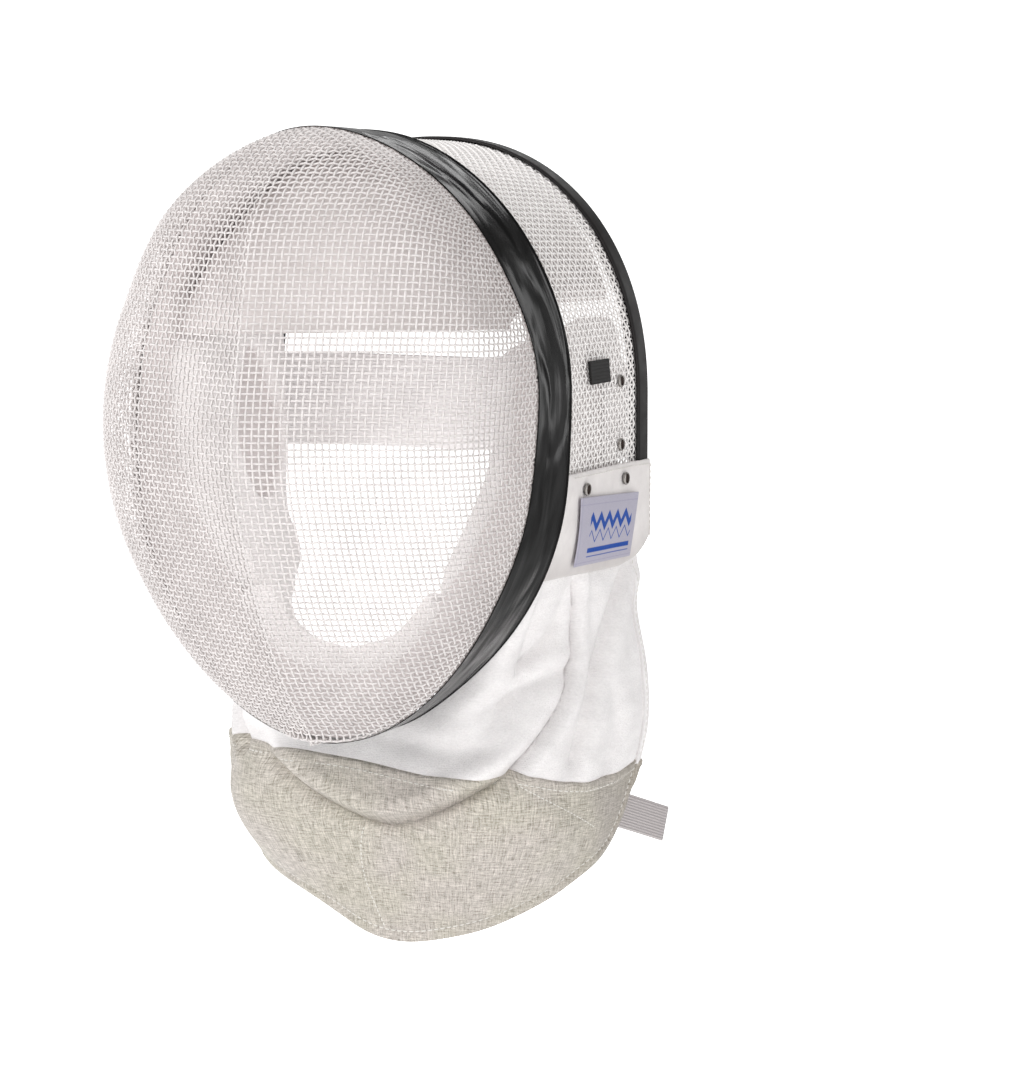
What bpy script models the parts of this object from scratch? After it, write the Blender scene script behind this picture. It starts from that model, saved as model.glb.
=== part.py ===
"""Fencing mask with a padded bib, built from the pieces of the real thing.

The shapes are worked out in millimetres in a working frame: x = 0 is the plane of
symmetry, +X the wearer's left, -Y forwards and +Z up. y = 0 is about the plane of the
black band's front edge, and z = 0 is half way up it. The finished pieces are moved so
that the origin is the head seat: the middle of the crown pad's inner face.

An angle round the face is 0 at the left cheek, 90 at the crown and -90 at the chin.
An azimuth round the neck is 0 in front and 90 at the left rear edge of the bib.
"""

import bmesh
import bpy
import numpy as np
from mathutils import Matrix

MM = 0.001
GAP = 0.4
FACE_STEP = 6.0
HEAD_SEAT = np.array([0.0, 78.0, 123.34])

# The band's front edge and the dome, a row for each 15 degrees from the chin to the crown.
RIM_ANGLES = np.linspace(-90.0, 90.0, 13)
RIM_TABLE = np.array([
    # half width, edge y, dome depth, band flare
    (0.0, -7.5, 13.9, -0.1),
    (25.1, -7.5, 13.5, -1.5),
    (49.0, -7.8, 27.4, -3.1),
    (70.2, -7.3, 45.8, -1.1),
    (87.7, -6.4, 64.3, 1.3),
    (100.0, -3.8, 81.8, 0.4),
    (103.9, -0.4, 93.6, -1.5),
    (102.5, 2.5, 91.5, -2.0),
    (90.4, 1.8, 83.4, 0.2),
    (73.6, -2.2, 70.1, 0.6),
    (50.8, -5.8, 47.8, 0.5),
    (25.2, -10.1, 22.3, -0.6),
    (0.0, -13.2, 0.0, -2.5),
])
RIM_TOP = 141.1
RIM_BOTTOM = 140.0

# The dome has two nearly flat flanks that meet in an upright ridge.
FLANK_LEAN = 0.428
FLANK_LEAN_LIMIT = 0.85
SHOULDER_POWER = 10.9
SHOULDER_ROOT = 1.92
MESH_THICKNESS = 2.0
TUCK = 5.0

# The band over the joint: how far across its width, and how high above the mesh.
BAND_WIDTH = 40.7
BAND_RISE = 2.4
BAND_PROFILE = (
    (0.0, 0.3), (0.0, 1.7), (0.04, 2.3), (0.35, 2.5), (0.65, 2.5), (0.93, 2.3),
    (0.96, 2.8), (0.985, 2.8), (1.0, 2.2), (1.0, 0.3), (0.5, 0.3),
)

# The rear opening: upright sides under a rounded arch that leans forward at its top.
ARCH_HALF_WIDTH = 100.2
ARCH_SPRING_Z = 11.8
ARCH_TOP_Z = 134.0
ARCH_POWER = 2.23
ARCH_Y = 134.0
ARCH_SWEEP = 12.7
BACK_LOWEST_ANGLE = -24.0
BACK_TUCK_SHARE = 0.55

# The rear binding: distance ahead of the mesh's edge, and height above its outer face.
BINDING_RISE = 1.8
BINDING_PROFILE = (
    (11.0, 0.35), (10.5, 1.5), (8.0, 1.8), (0.5, 1.8), (-1.4, 0.6), (-1.4, -2.6),
    (0.5, -3.8), (8.0, -3.8), (11.0, -3.4), (11.0, -2.4), (-0.4, -2.4), (-0.4, 0.35),
)
BINDING_LOWEST_ANGLE = -18.0

PANEL_THICKNESS = 2.4
PANEL_FRONT_GAP = 0.9
PANEL_TOP_Z = -17.0
PANEL_BOTTOM_Z = -66.0
PANEL_REAR_Y = 136.0
PANEL_CORNER = 20.0
PANEL_CORNER_RISE = 11.0
PANEL_CLIMB_Y = (112.0, 121.0)
PANEL_CLIMB_RISE = 2.0

LABEL_Y = (48.0, 115.0)
LABEL_Z = (-61.0, -31.0)
LABEL_SKEW = 5.0
LABEL_THICKNESS = 0.8
LABEL_LIFT = 0.6
TAG_CENTRE = (78.0, 27.5)
TAG_SIZE = (1.2, 23.0, 11.0)
TAG_LIFT = 0.75
RIVET_RADIUS = 3.0
RIVET_HEIGHT = 1.4
# y, z and the height of the face that the rivet's head lies on above the back mesh.
RIVET_SEATS = (
    (104.0, 21.5, 0.0),
    (104.0, -8.2, 0.0),
    (104.0, -24.0, GAP + PANEL_THICKNESS),
    (59.0, -25.0, GAP + PANEL_THICKNESS),
)

# The bib hangs round an upright axis at the neck, open at the rear.
NECK_Y = 129.0
BIB_THICKNESS = 5.0
BIB_BLEND = 40.0
BIB_TUCK = 1.6
BIB_TUCK_SHARES = (0.04, 0.96)
BIB_DIAGONAL = 57.5
BIB_RADII = np.array([
    # z, radius in front, on the diagonal and at the side
    (-245.0, 70.5, 74.0, 80.0),
    (-225.0, 76.0, 84.0, 85.0),
    (-205.0, 83.0, 97.0, 89.0),
    (-186.0, 91.0, 107.0, 94.0),
    (-165.0, 98.0, 109.0, 98.0),
    (-147.0, 98.0, 107.0, 102.5),
    (-127.0, 98.0, 105.0, 103.0),
    (-109.0, 97.0, 101.5, 101.0),
    (-91.0, 97.0, 100.0, 97.5),
    (-66.0, 97.0, 100.0, 96.0),
])
SEAM_TABLE = np.array([
    # azimuth, z of the seam between the white cloth and the conductive cloth
    (-90.0, -156.0), (-55.0, -152.0), (-35.0, -152.0), (-20.0, -153.0), (0.0, -155.5),
    (16.0, -159.5), (28.0, -161.0), (41.0, -159.0), (50.0, -162.5), (70.0, -165.0),
    (90.0, -160.0),
])
HEM_TABLE = np.array([
    # azimuth, z of the bib's lower edge
    (-90.0, -163.0), (-85.0, -182.0), (-78.0, -203.0), (-64.0, -217.0), (-50.0, -219.5),
    (-37.0, -221.0), (-23.0, -229.0), (-12.0, -238.0), (0.0, -243.7), (12.0, -243.0),
    (22.5, -239.7), (33.0, -235.0), (42.0, -230.0), (51.0, -223.5), (61.0, -216.0),
    (70.5, -208.0), (80.0, -198.0), (85.0, -184.0), (90.0, -164.0),
])

# Creases in the bib, each a smooth curve through three places, repeated on the right side
# where the last column is 1.
FOLD_TABLE = np.array([
    # azimuth and z at the start, the middle and the end, depth, half width, repeated
    (58.5, -66.0, 58.5, -114.0, 43.0, -153.0, 4.0, 7.0, 1.0),
    (56.0, -70.0, 54.0, -90.0, 45.0, -106.0, 3.0, 6.0, 1.0),
    (56.0, -113.0, 47.0, -117.0, 36.0, -126.0, 2.5, 6.0, 1.0),
    (84.0, -70.0, 70.0, -106.0, 58.0, -150.0, 3.5, 8.0, 1.0),
    (-28.5, -158.0, 0.0, -184.0, 40.0, -158.0, 4.0, 9.0, 0.0),
])
FOLD_RADIUS = 105.0
FOLD_FREE_FROM = 15.0

# The lining: its outer face at the front edge and at the rear edge, from temple to chin.
LINING_FRONT_Y = 10.0
LINING_TABLE = np.array([
    # front x, front z, rear x, rear z, rear y
    (92.0, 42.0, 91.5, 42.0, 121.0),
    (91.0, 12.0, 91.6, 12.0, 121.0),
    (88.0, -12.0, 91.6, -12.0, 121.0),
    (78.0, -37.0, 91.6, -37.0, 121.0),
    (64.0, -62.0, 91.0, -61.0, 121.0),
    (48.0, -82.0, 89.0, -85.0, 118.0),
    (26.0, -102.0, 62.0, -106.0, 88.0),
    (0.0, -116.0, 0.0, -122.0, 60.0),
])
LINING_SPLIT = 5
LINING_CLEARANCE = 4.5
LINING_JOINT = 0.1
LINING_FRONT_THICKNESS = 16.0
LINING_REAR_THICKNESS = 6.5
LINING_MIDDLE = np.array([0.0, 60.0, -20.0])
# The ear holes: the middle's x, y and z, half sizes, the cutter's length and its lean.
EAR_CENTRE = np.array([90.0, 97.0, -4.0])
EAR_HALF_SIZE = (16.0, 30.0)
EAR_CUT_LENGTH = 40.0
EAR_LEAN = 12.0

CROWN_LOWEST_ANGLE = 27.0
CROWN_INSET = 4.5
CROWN_THICKNESS = 8.0
CROWN_REAR_Y = 112.0
CROWN_TURN_Y = 62.0
CROWN_TOP_SHARE = 0.8
CROWN_REAR_SHARE = 0.76
BROW_Z = 50.0
BROW_TILT = 0.04
BROW_Y = (12.0, 2.0)
BROW_POWER = 2.6

STRAP_HEIGHT = 45.0
STRAP_MIDDLE_Z = 6.0
STRAP_THICKNESS = 2.0
STRAP_HALF_WIDTH = 94.1
STRAP_FRONT_Y = 98.0
STRAP_REAR_Y = 131.0
STRAP_POWER = 12.0

TAB_SIZE = (2.4, 76.0, 17.0)
TAB_CENTRE = (88.8, 130.9, -188.5)
TAB_FLARE = 12.0
TAB_SLOPE = 19.2


# ---------------------------------------------------------------- curves and grids

def smooth(table_x, table_y, x):
    """Natural cubic spline through a table's rows, read at x."""
    table_x = np.asarray(table_x, float)
    table_y = np.asarray(table_y, float)
    step = np.diff(table_x)
    slope = np.diff(table_y) / step
    count = len(table_x)
    system = np.eye(count)
    right = np.zeros(count)
    for i in range(1, count - 1):
        system[i, i - 1:i + 2] = step[i - 1], 2 * (step[i - 1] + step[i]), step[i]
        right[i] = 6 * (slope[i] - slope[i - 1])
    bend = np.linalg.solve(system, right)
    i = np.clip(np.searchsorted(table_x, x, side="right") - 1, 0, count - 2)
    b = (x - table_x[i]) / step[i]
    a = 1 - b
    curve = (a ** 3 - a) * bend[i] + (b ** 3 - b) * bend[i + 1]
    return a * table_y[i] + b * table_y[i + 1] + curve * step[i] ** 2 / 6


def rim_column(column, top_parity, bottom_parity, tilt):
    """One column of the rim table at these angles from -90 to 90.

    The rows go on past each end, mirrored (parity 1) or turned about it (parity -1), so
    that the curve crosses the middle plane smoothly.
    """
    values = RIM_TABLE[:, column]
    step = RIM_ANGLES[1] - RIM_ANGLES[0]
    extra = step * np.arange(1, 4)
    above = values[-2:-5:-1]
    below = values[3:0:-1]
    if top_parity < 0:
        above = 2 * values[-1] - above
    if bottom_parity < 0:
        below = 2 * values[0] - below
    places = np.concatenate([RIM_ANGLES[0] - extra[::-1], RIM_ANGLES, RIM_ANGLES[-1] + extra])
    return smooth(places, np.concatenate([below, values, above]), tilt)


def normalised(vectors):
    return vectors / np.linalg.norm(vectors, axis=-1, keepdims=True)


def outward(curve, angles):
    """Outward normals of a closed curve in the XZ plane, by central differences."""
    half = 0.5
    tangent = curve(angles + half) - curve(angles - half)
    flat = np.stack([tangent[..., 2], 0 * angles, -tangent[..., 0]], -1)
    return normalised(flat)


def grid_normals(grid):
    """Unit normals of a grid of points, on the side that its rows x columns turn to."""
    return normalised(np.cross(np.gradient(grid, axis=0), np.gradient(grid, axis=1)))


# ---------------------------------------------------------------- the mask's own surfaces

def fold_angle(angles):
    """The tilt from -90 to 90 of an angle round the face, and its side: 1 left, -1 right."""
    turned = np.radians(angles)
    tilt = np.degrees(np.arcsin(np.clip(np.sin(turned), -1, 1)))
    return tilt, np.where(np.cos(turned) < 0, -1.0, 1.0)


def rim_height(tilt):
    height = np.sin(np.radians(tilt))
    return height * np.where(height < 0, RIM_BOTTOM, RIM_TOP)


def rim(angles):
    """Points of the band's front edge on the mesh's outer face."""
    angles = np.asarray(angles, float)
    tilt, side = fold_angle(angles)
    width = rim_column(0, -1, -1, tilt)
    return np.stack([side * width, rim_column(1, 1, 1, tilt), rim_height(tilt)], -1)


def under_band(angles, across, rise=0.0):
    """Points on the mesh under the band, this far back from its front edge, raised by rise."""
    angles, across, rise = np.broadcast_arrays(np.asarray(angles, float), across, rise)
    tilt, _ = fold_angle(angles)
    flare = rim_column(3, 1, 1, tilt) - BAND_RISE
    lift = flare * across / BAND_WIDTH + rise
    points = rim(angles) + outward(rim, angles) * lift[..., None]
    points[..., 1] += across
    return points


def arch(angles):
    """The rear binding's outer edge, at the same share of the height as the rim."""
    angles = np.asarray(angles, float)
    tilt, side = fold_angle(angles)
    z = rim_height(tilt) * ARCH_TOP_Z / RIM_TOP
    rise = np.clip((z - ARCH_SPRING_Z) / (ARCH_TOP_Z - ARCH_SPRING_Z), 0, 1)
    x = side * ARCH_HALF_WIDTH * (1 - rise ** ARCH_POWER) ** (1 / ARCH_POWER)
    return np.stack([x, ARCH_Y - ARCH_SWEEP * rise ** 2, z], -1)


def back_surface(angles, share, rise=0.0):
    """The back mesh's outer face: share 0 at the band's rear edge, 1 at the rear edge."""
    angles, share, rise = np.broadcast_arrays(np.asarray(angles, float), share, rise)
    front_normal = outward(rim, angles)
    rear_normal = outward(arch, angles)
    front = under_band(angles, BAND_WIDTH)
    rear = arch(angles) - BINDING_RISE * rear_normal
    share = share[..., None]
    normal = normalised(front_normal * (1 - share) + rear_normal * share)
    return front * (1 - share) + rear * share + normal * rise[..., None]


def side_surface(z, y, rise):
    """A point of the left side, found by its height and depth, raised by rise."""
    z, y, rise = np.broadcast_arrays(np.asarray(z, float), y, rise)
    angles = np.degrees(np.arcsin(z / RIM_TOP))
    share = np.zeros_like(angles)
    for _ in range(8):
        found = back_surface(angles, share, rise)
        reach = back_surface(angles, 1.0)[..., 1] - back_surface(angles, 0.0)[..., 1]
        share = share + (y - found[..., 1]) / reach
        angles = angles + np.degrees((z - found[..., 2]) / RIM_TOP)
    return back_surface(angles, share, rise)


def dome_row(tilt, across):
    """One level row of the dome: across runs from -1 at the right rim to 1 at the left."""
    width = max(float(rim_column(0, -1, -1, tilt)), 0.0)
    depth = max(float(rim_column(2, -1, 1, tilt)), 0.0)
    lean = min(FLANK_LEAN * width / max(depth, 0.001), FLANK_LEAN_LIMIT)
    share = np.abs(across)
    bulge = (1 - lean * share) * np.maximum(1 - share ** SHOULDER_POWER, 0) ** (1 / SHOULDER_ROOT)
    y = float(rim_column(1, 1, 1, tilt)) - depth * bulge
    return np.stack([width * across, y, np.full_like(across, rim_height(tilt))], -1)


def even_dome_row(tilt, count):
    """A row of the dome with points at even steps along its length."""
    fine = np.sin(np.radians(np.linspace(-90, 90, 721)))
    row = dome_row(tilt, fine)
    length = np.concatenate([[0], np.cumsum(np.linalg.norm(np.diff(row, axis=0), axis=1))])
    across = np.interp(np.linspace(0, length[-1], count), length, fine)
    across[[0, count // 2, -1]] = -1, 0, 1
    return dome_row(tilt, across)


# ---------------------------------------------------------------- the bib's surface

def bib_top(azimuth):
    """Radius and height of the bib's top edge, which follows the band and the back mesh."""
    face = np.linspace(-90, BACK_LOWEST_ANGLE - 1.0, 27)
    along_band = under_band(face, BAND_WIDTH + GAP)
    along_mesh = back_surface(BACK_LOWEST_ANGLE - 1.0, np.linspace(*BIB_TUCK_SHARES, 12), -BIB_TUCK)
    edge = np.concatenate([along_band, along_mesh])
    ahead = NECK_Y - edge[:, 1]
    turn = np.degrees(np.arctan2(edge[:, 0], ahead))
    wanted = np.minimum(np.abs(azimuth), turn[-1])
    radius = np.interp(wanted, turn, np.hypot(edge[:, 0], ahead))
    return radius, np.interp(wanted, turn, edge[:, 2])


def bib_body(azimuth, z):
    """Radius away from the top edge: a smooth ring through the front, diagonal and side."""
    front, diagonal, side = (smooth(BIB_RADII[:, 0], BIB_RADII[:, i], z) for i in (1, 2, 3))
    twice = 2 * np.radians(BIB_DIAGONAL)
    swing = (front - side) / 2
    middle = (front + side) / 2
    corner = (middle + swing * np.cos(twice) - diagonal) / (1 - np.cos(2 * twice))
    turn = np.radians(azimuth)
    return middle - corner + swing * np.cos(2 * turn) + corner * np.cos(4 * turn)


def bib_radius(azimuth, z):
    """Radius of the bib's outer face, held to its top edge and free of it further down."""
    top_radius, top_z = bib_top(azimuth)
    share = np.clip((top_z - z) / BIB_BLEND, 0, 1)
    hold = (1 - share) ** 2 * (1 + 2 * share)
    return bib_body(azimuth, z) + hold * (top_radius - bib_body(azimuth, top_z))


def bib_folds(azimuth, z):
    """How deep the creases are at a place on the bib, from its distance to each curve."""
    along = np.linspace(0, 1, 15)
    place = np.stack(np.broadcast_arrays(np.radians(azimuth) * FOLD_RADIUS, z), -1)
    total = np.zeros(place.shape[:-1])
    for row in FOLD_TABLE:
        for side in ((1, -1) if row[8] else (1,)):
            through = row[:6].reshape(3, 2) * [side * np.radians(FOLD_RADIUS), 1]
            curve = np.stack([smooth([0, 0.5, 1], through[:, i], along) for i in (0, 1)], -1)
            away = np.linalg.norm(place[..., None, :] - curve, axis=-1).min(-1)
            total += row[6] * np.exp(-(away / row[7]) ** 2)
    return total


def bib_point(azimuth, z, depth=0.0):
    """A point of the bib, this deep under its outer face."""
    _, top_z = bib_top(azimuth)
    free = np.clip((top_z - z) / FOLD_FREE_FROM, 0, 1)
    radius = bib_radius(azimuth, z) - bib_folds(azimuth, z) * free - depth
    turn = np.radians(azimuth)
    return np.stack([radius * np.sin(turn), NECK_Y - radius * np.cos(turn), z], -1)


# ---------------------------------------------------------------- Blender objects

def plain_collection(name):
    collection = bpy.data.collections.new(name)
    bpy.context.scene.collection.children.link(collection)
    return collection


def finish_material(name, colour, roughness, metallic=0.0):
    material = bpy.data.materials.new(name)
    material.use_nodes = True
    shader = material.node_tree.nodes["Principled BSDF"]
    shader.inputs["Base Color"].default_value = (*colour, 1.0)
    shader.inputs["Roughness"].default_value = roughness
    shader.inputs["Metallic"].default_value = metallic
    return material


def add_mesh(name, points, faces, colour, roughness, metallic=0.0, sharp=40.0):
    """A smooth-shaded mesh object from points in the working frame."""
    mesh = bpy.data.meshes.new(name)
    placed = (np.asarray(points, float).reshape(-1, 3) - HEAD_SEAT) * MM
    mesh.from_pydata(placed.tolist(), [], [list(map(int, face)) for face in faces])
    body = bmesh.new()
    body.from_mesh(mesh)
    bmesh.ops.remove_doubles(body, verts=body.verts, dist=0.00002)
    bmesh.ops.recalc_face_normals(body, faces=body.faces)
    body.to_mesh(mesh)
    body.free()
    mesh.shade_smooth()
    mesh.set_sharp_from_angle(angle=np.radians(sharp))
    mesh.materials.append(finish_material(name, colour, roughness, metallic))
    obj = bpy.data.objects.new(name, mesh)
    parts.objects.link(obj)
    return obj


def grid_faces(rows, columns, start=0, turned=False):
    """Quads of a grid of points stored row by row."""
    corner = (np.arange(rows - 1)[:, None] * columns + np.arange(columns - 1)).ravel() + start
    quads = np.stack([corner, corner + 1, corner + columns + 1, corner + columns], -1)
    return (quads[:, ::-1] if turned else quads).tolist()


def solidify(obj, thickness):
    """Gives an open sheet its thickness, inwards from the face that its normals leave."""
    modifier = obj.modifiers.new("thickness", "SOLIDIFY")
    modifier.thickness = thickness * MM
    modifier.offset = -1
    modifier.use_even_offset = True
    modifier.use_rim = True
    return obj


def sheet(name, grid, thickness, colour, roughness, metallic=0.0):
    """A shell whose outer face is this grid; its normals are turned away from the middle."""
    rows, columns = grid.shape[:2]
    obj = add_mesh(name, grid, grid_faces(rows, columns), colour, roughness, metallic)
    middle = np.array([0.0, 50.0, grid[..., 2].mean()])
    face = obj.data.polygons[len(obj.data.polygons) // 2]
    away = np.array(face.center) / MM + HEAD_SEAT - middle
    if np.dot(away, np.array(face.normal)) < 0:
        obj.data.flip_normals()
    return solidify(obj, thickness)


def closed_wall(name, outer, inner, colour, roughness):
    """A padded wall between two unlike faces given as grids of the same size."""
    rows, columns = outer.shape[:2]
    count = rows * columns
    faces = grid_faces(rows, columns) + grid_faces(rows, columns, count, turned=True)
    ring = (
        list(range(columns))
        + [row * columns + columns - 1 for row in range(1, rows)]
        + [(rows - 1) * columns + column for column in range(columns - 2, -1, -1)]
        + [row * columns for row in range(rows - 2, 0, -1)]
    )
    for a, b in zip(ring, ring[1:] + ring[:1]):
        faces.append([b, a, a + count, b + count])
    return add_mesh(name, np.concatenate([outer.reshape(-1, 3), inner.reshape(-1, 3)]), faces,
                    colour, roughness)


def swept(name, rings, closed, colour, roughness):
    """A solid from a closed profile carried along a path: rings[path step, profile point]."""
    steps, sides = rings.shape[:2]
    faces = []
    for i in range(steps if closed else steps - 1):
        for j in range(sides):
            near, far, k = i * sides, (i + 1) % steps * sides, (j + 1) % sides
            faces.append([near + j, near + k, far + k, far + j])
    if not closed:
        faces += [list(range(sides))[::-1], list(range((steps - 1) * sides, steps * sides))]
    return add_mesh(name, rings, faces, colour, roughness)


def mirrored(grid):
    return grid * np.array([-1.0, 1.0, 1.0])


# ---------------------------------------------------------------- the pieces

WHITE_VINYL = (0.86, 0.86, 0.87)
WIRE_WHITE = (0.80, 0.79, 0.79)
BLACK = (0.012, 0.012, 0.013)
PAD_GREY = (0.62, 0.60, 0.60)


def make_front_mesh():
    """The domed face mesh, with its edge tucked under the band all round."""
    columns = 15
    rows = []
    for tilt in np.arange(-90, 91, FACE_STEP):
        row = even_dome_row(tilt, columns)
        right, left = under_band(np.array([180.0 - tilt, tilt]), TUCK)
        rows.append(np.concatenate([[right], row, [left]]))
    return sheet("front_mesh", np.array(rows), MESH_THICKNESS, WIRE_WHITE, 0.45)


def make_trim_band():
    angles = np.arange(-90, 270, FACE_STEP)
    across, rise = np.array(BAND_PROFILE).T
    rings = under_band(angles[:, None], across * BAND_WIDTH, rise)
    return swept("trim_band", rings, True, BLACK, 0.2)


def make_back_mesh():
    """From just behind the front mesh, under the band, to inside the rear binding."""
    angles = np.arange(BACK_LOWEST_ANGLE, 181 - BACK_LOWEST_ANGLE, FACE_STEP)
    tucked = [under_band(angles, across) for across in (TUCK + GAP, BAND_WIDTH * BACK_TUCK_SHARE)]
    seen = [back_surface(angles, share) for share in np.linspace(0, 1, 6)]
    grid = np.stack(tucked + seen, 1)
    return sheet("back_mesh", grid, MESH_THICKNESS, WIRE_WHITE, 0.45)


def make_rear_binding():
    angles = np.arange(BINDING_LOWEST_ANGLE, 181 - BINDING_LOWEST_ANGLE, FACE_STEP)
    ahead, rise = np.array(BINDING_PROFILE).T
    rear = back_surface(angles, 1.0)
    forward = normalised(back_surface(angles, 0.0) - rear)
    normal = outward(arch, angles)
    rings = (rear[:, None] + forward[:, None] * ahead[None, :, None]
             + normal[:, None] * rise[None, :, None])
    return swept("rear_binding", rings, False, BLACK, 0.35)


def panel_rise(y):
    """Height of the panel's inner face over the mesh: it climbs over the rear binding."""
    start, end = PANEL_CLIMB_Y
    climb = np.clip((y - start) / (end - start), 0, 1)
    return GAP + PANEL_CLIMB_RISE * climb ** 2 * (3 - 2 * climb)


def panel_front(z):
    """The y of the panel's front edge, just behind the band."""
    angle = np.degrees(np.arcsin(z / RIM_BOTTOM))
    return under_band(angle, BAND_WIDTH)[..., 1] + PANEL_FRONT_GAP


def make_side_panels():
    down = np.linspace(0, 1, 6)[:, None]
    along = np.linspace(0, 1, 11)[None, :]
    front_y = panel_front(PANEL_TOP_Z)
    y = front_y + (PANEL_REAR_Y - front_y) * along + 0 * down
    corner = np.clip((y - PANEL_REAR_Y) / PANEL_CORNER + 1, 0, 1)
    lowest = PANEL_BOTTOM_Z + PANEL_CORNER_RISE * corner ** 2
    z = PANEL_TOP_Z + (lowest - PANEL_TOP_Z) * down
    y = y + (panel_front(z) - front_y) * (1 - along)
    outer = side_surface(z, y, panel_rise(y) + PANEL_THICKNESS)
    inner = side_surface(z, y, panel_rise(y))
    closed_wall("side_panel_left", outer, inner, WHITE_VINYL, 0.4)
    closed_wall("side_panel_right", mirrored(outer), mirrored(inner), WHITE_VINYL, 0.4)


def make_side_label():
    up = np.linspace(0, 1, 4)[:, None]
    along = np.linspace(0, 1, 8)[None, :]
    y = LABEL_Y[0] + (LABEL_Y[1] - LABEL_Y[0]) * along + LABEL_SKEW * (up - 0.5)
    z = LABEL_Z[0] + (LABEL_Z[1] - LABEL_Z[0]) * up + 0 * along
    seat = panel_rise(y) + PANEL_THICKNESS + LABEL_LIFT
    outer = side_surface(z, y, seat + LABEL_THICKNESS)
    inner = side_surface(z, y, seat)
    closed_wall("side_label", outer, inner, (0.55, 0.53, 0.66), 0.6)


def make_side_tag():
    bpy.ops.mesh.primitive_cube_add(size=1)
    tag = bpy.context.object
    tag.name = "side_tag"
    tag.data.transform(scale_matrix(TAG_SIZE))
    y, z = TAG_CENTRE
    middle = side_surface(z, y, 0.0)
    ahead = side_surface(z, y - 10, 0.0)
    above = side_surface(z + 5, y, 0.0)
    forward = normalised(middle - ahead)
    normal = normalised(np.cross(forward, above - middle))
    rise = TAG_SIZE[0] / 2 + TAG_LIFT
    seat_solid(tag, middle + normal * rise, normal, forward, BLACK, 0.5)


def scale_matrix(size):
    return Matrix.Diagonal((size[0] * MM, size[1] * MM, size[2] * MM, 1.0))


def seat_solid(obj, place, normal, forward, colour, roughness, metallic=0.0):
    """Puts a primitive with its +X along normal and its +Y along forward."""
    third = np.cross(normal, forward)
    turn = Matrix(np.stack([normal, forward, third], 1).tolist()).to_4x4()
    turn.translation = ((place - HEAD_SEAT) * MM).tolist()
    obj.matrix_world = turn
    for collection in obj.users_collection:
        collection.objects.unlink(obj)
    parts.objects.link(obj)
    obj.data.materials.append(finish_material(obj.name, colour, roughness, metallic))


def make_rivets():
    """Four rivets on each side: two through the mesh and two through the panel."""
    for side, name in ((1, "left"), (-1, "right")):
        for number, (y, z, seat) in enumerate(RIVET_SEATS, 1):
            bpy.ops.mesh.primitive_cylinder_add(
                vertices=12, radius=RIVET_RADIUS * MM, depth=RIVET_HEIGHT * MM,
                rotation=(0, np.pi / 2, 0))
            bpy.ops.object.transform_apply(location=False, rotation=True, scale=False)
            rivet = bpy.context.object
            rivet.name = f"rivet_{name}_{number}"
            rivet.data.shade_smooth()
            rivet.data.set_sharp_from_angle(angle=np.radians(50))
            middle = side_surface(z, y, seat)
            forward = normalised(side_surface(z, y + 5, seat) - middle)
            normal = normalised(np.cross(forward, side_surface(z + 5, y, seat) - middle))
            place = middle + normal * (RIVET_HEIGHT / 2 + GAP)
            flip = np.array([side, 1.0, 1.0])
            seat_solid(rivet, place * flip, normal * flip, forward * flip * side,
                       (0.55, 0.55, 0.56), 0.35, 1.0)


def make_bib():
    """The white upper part and the conductive lower part, edge to edge at the seam."""
    azimuth = np.linspace(-90, 90, 41)[None, :]
    _, top = bib_top(azimuth)
    seam = smooth(SEAM_TABLE[:, 0], SEAM_TABLE[:, 1], azimuth)
    hem = smooth(HEM_TABLE[:, 0], HEM_TABLE[:, 1], azimuth)
    down = np.linspace(0, 1, 9)[:, None]
    upper = azimuth + 0 * down, top + (seam - top) * down
    closed_wall("bib_upper", bib_point(*upper), bib_point(*upper, BIB_THICKNESS),
                (0.88, 0.88, 0.90), 0.7)
    down = np.linspace(0, 1, 7)[:, None]
    start = seam - GAP
    lower = azimuth + 0 * down, start + (hem - start) * down
    closed_wall("bib_lame", bib_point(*lower), bib_point(*lower, BIB_THICKNESS),
                (0.50, 0.46, 0.41), 0.45)


def inside_bib(points):
    """Draws points that lie at the bib's height in to clear its inner face."""
    ahead = NECK_Y - points[..., 1]
    azimuth = np.degrees(np.arctan2(points[..., 0], ahead))
    _, top_z = bib_top(azimuth)
    limit = bib_radius(azimuth, points[..., 2]) - bib_folds(azimuth, points[..., 2])
    limit = limit - BIB_THICKNESS - LINING_CLEARANCE
    share = np.minimum(1, limit / np.hypot(points[..., 0], ahead))
    share = np.where(points[..., 2] < top_z + 2, share, 1.0)
    drawn = points.copy()
    drawn[..., 0] *= share
    drawn[..., 1] = NECK_Y - ahead * share
    return drawn


def lining_faces(row, columns):
    """Outer and inner face of the left lining at these rows of its table."""
    count = np.arange(len(LINING_TABLE))
    front_x, front_z, rear_x, rear_z, rear_y = (
        smooth(count, LINING_TABLE[:, i], row)[:, None] for i in range(5))
    back = np.linspace(0, 1, columns)[None, :]
    ease = 1 - (1 - back) ** 2
    outer = np.stack([
        front_x + (rear_x - front_x) * ease,
        LINING_FRONT_Y + (rear_y - LINING_FRONT_Y) * back,
        front_z + (rear_z - front_z) * ease,
    ], -1)
    outer = inside_bib(outer)
    thickness = LINING_FRONT_THICKNESS + (
        LINING_REAR_THICKNESS - LINING_FRONT_THICKNESS) * ease
    inward = grid_normals(outer)
    inward *= np.sign((inward * (LINING_MIDDLE - outer)).sum(-1))[..., None]
    inward[..., 1] = 0
    inward = normalised(inward)
    return outer, outer + inward * thickness[..., None]


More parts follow.
